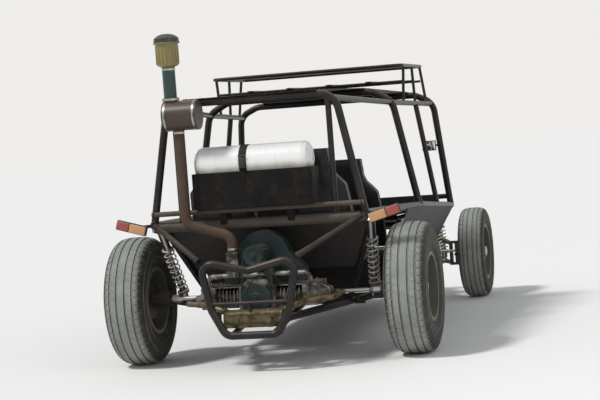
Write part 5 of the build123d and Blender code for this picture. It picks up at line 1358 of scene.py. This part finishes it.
def make_tail_lamps():
    """Rounded housings on stems, each with an amber and a red lens."""
    for part, finish, middle, half, bevel in LAMP_PARTS:
        shape = Shape()
        for _, sign in SIDES:
            turn = Matrix.Rotation(-LAMP_TILT * sign, 3, "Y")
            place = mirrored(LAMP_CENTRE, sign) + turn @ mirrored(middle, sign)
            shape.slab(place, half, bevel, turn, 3)
            if part == "shells":
                shape.tube([mirrored(point, sign) for point in LAMP_STEM], LAMP_STEM_R, 16)
        shape.piece(f"tail_lamp_{part}", "lamp_amber", replaces=("tail_lamps",), finish=finish)


# Headlamps and mirrors, right side
HEADLAMP_X = 0.268
HEADLAMP_Z = 0.655
HEADLAMP_DOME = ((-0.003, 0.066), (0.001, 0.063), (0.005, 0.049), (0.008, 0.028), (0.009, 0.001))
MIRROR_X = 0.640
MIRROR_HALF_WIDE = 0.042
MIRROR_HALF_THICK = 0.00225
MIRROR_SUNK = 0.00075
MIRROR_INSET = 0.005


def make_glass():
    """Domed glass and a rolled rim on each headlamp, and rear-facing glass on each mirror."""
    lamps = both((HEADLAMP_X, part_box("headlamps")[1].y, HEADLAMP_Z))
    fitting("headlamp_glass", "lamp_clear", ("turned", lamps, FORWARD, HEADLAMP_DOME, 48),
            finish="lens_glass")
    fitting("headlamp_rims", "lamp_clear",
            ("ring", [lamp + REARWARD * 0.002 for lamp in lamps], FORWARD, 0.069, 0.005, 56, 10))
    low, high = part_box("mirrors")
    half = (MIRROR_HALF_WIDE, MIRROR_HALF_THICK, (high.z - low.z) / 2 - MIRROR_INSET)
    glass = both((MIRROR_X, low.y + MIRROR_SUNK, (low.z + high.z) / 2))
    fitting("mirror_glass", "control_black", ("slab", glass, half, 0.001), finish="lamp_clear")


# Dash: gauges' places across and radii; switches' places across; their height
GAUGES = ((-0.400, 0.030), (-0.280, 0.034), (-0.160, 0.030))
SWITCHES_X = (0.02, 0.07, 0.12)
DASH_Z = 0.761
SWITCH = ((0.0, 0.008), (0.004, 0.008), (0.004, 0.003), (0.018, 0.0022))
SWITCH_AXIS = (0, -1, 0.4)
SWITCH_DEEP = 0.0222
# Marks and needles: angles in degrees from the top of a dial, the rest as shares of its radius
MARK_ANGLES = range(-130, 131, 26)
MARK_AT = 0.78
NEEDLE_ANGLE = -70
NEEDLE_AT = 0.3
NEEDLE_HALF = 0.32


def make_gauges():
    """Bezels, dials with marks and needles, and three switches."""
    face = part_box("dash_panel")[0].y
    bezels, dials, marks = [], [], []
    for x, radius in GAUGES:
        centre = Vector((x, face, DASH_Z))
        bezels.append(("ring", [centre], REARWARD, radius - 0.001, 0.0025, 40))
        disc = ((0.0002, radius - 0.003), (0.0008, radius - 0.003))
        dials.append(("turned", [centre], REARWARD, disc, 36))
        marks += [("fan", [centre + REARWARD * 0.0010], radius * MARK_AT, MARK_ANGLES,
                   (0.0007, 0.0004, 0.0022), 0.0002),
                  ("fan", [centre + REARWARD * 0.0014], radius * NEEDLE_AT, [NEEDLE_ANGLE],
                   (0.0008, 0.0004, radius * NEEDLE_HALF), 0.0003)]
    switches = [(x, face + SWITCH_DEEP, DASH_Z) for x in SWITCHES_X]
    fitting("gauge_bezels", "control_black", *bezels, ("turned", switches, SWITCH_AXIS, SWITCH, 14),
            finish="bright_steel")
    fitting("gauge_dials", "control_black", *dials, finish="dial_face")
    fitting("gauge_marks", "control_black", *marks)


# Steering wheel, as in the construction, and its sleeve's radius, swell, waves, steps and sides
WHEEL_CENTRE = Vector((-0.280, 0.430, 0.850))
WHEEL_R = 0.170
GRIP_R = 0.0138
GRIP_SWELL = 0.0007
GRIP_WAVES = 24
GRIP_STEPS = 120
GRIP_SIDES = 14
# Its hub's face and screws, out from the centre
HUB_FACE = 0.0118
SCREWS_R = 0.021


def make_wheel_grip():
    """A sleeve in waves on the steering wheel's rim, and the hub's ring of screws."""
    joints = frame["record"]["behaviour"]["joints"]
    axis = Vector(next(joint for joint in joints if joint["name"] == "steering_wheel_turn")["axis"])
    first, second = square_to(axis)
    path = circle(WHEEL_CENTRE, first, second, WHEEL_R, GRIP_STEPS)
    rows = []
    for number, point in enumerate(path):
        ahead = (path[(number + 1) % GRIP_STEPS] - path[number - 1]).normalized()
        outward = (point - WHEEL_CENTRE).normalized()
        swell = GRIP_R + GRIP_SWELL * cos(2 * pi * GRIP_WAVES * number / GRIP_STEPS)
        rows.append(circle(point, outward, ahead.cross(outward), swell, GRIP_SIDES))
    grip = Shape()
    grip.net(rows, closed=True)
    grip.piece("wheel_grip", "control_black", body="steering_wheel")
    facing = axis if axis.y < 0 else -axis
    screws = circle(WHEEL_CENTRE + facing * HUB_FACE, first, second, SCREWS_R, 6)
    fitting("wheel_screws", "control_black", ("bolt", screws, facing, 0.0035, 0.003),
            body="steering_wheel", finish="bright_steel")


# Gear lever's boot and the pedals, as in the construction
LEVER_FOOT = (0.0, 0.1505, 0.3850)
LEVER_AXIS = (0, -0.15, 1)
LEVER_BOOT = bellows((0.0, 0.036), (0.006, 0.036), (0.012, 0.030), (0.011, 0.0045), 5,
                     (0.064, 0.0095))
PEDALS_X = (-0.330, -0.255, -0.180)
PEDAL_RIBS_Y = 0.898
PEDAL_RIBS_Z = 0.4595
PEDAL_RIBS_PITCH = 0.0135


def make_boot_and_pads():
    """A bellows round the gear lever and ribs on the pedals' pads."""
    ribs = [place for x in PEDALS_X
            for place in spaced((x, PEDAL_RIBS_Y, PEDAL_RIBS_Z), UP * PEDAL_RIBS_PITCH, 4)]
    fitting("boot_and_pads", "control_black", ("turned", [LEVER_FOOT], LEVER_AXIS, LEVER_BOOT, 28),
            ("slab", ribs, (0.024, 0.002, 0.003), 0.001), finish="belt_rubber")


bpy.context.scene.view_settings.view_transform = "Standard"
make_camera()
make_world()
make_floor()
make_lights()
dress_nodes()
for end in ("rear", "front"):
    for side, sign in SIDES:
        make_tyre(end, side)
        make_wheel_trim(end, side, sign)
make_seats()
make_shocks()
make_welds()
make_rivets()
make_pulleys()
make_engine_details()
make_clamps()
make_transaxle_details()
make_tank_details()
make_tail_lamps()
make_glass()
make_gauges()
make_wheel_grip()
make_boot_and_pads()
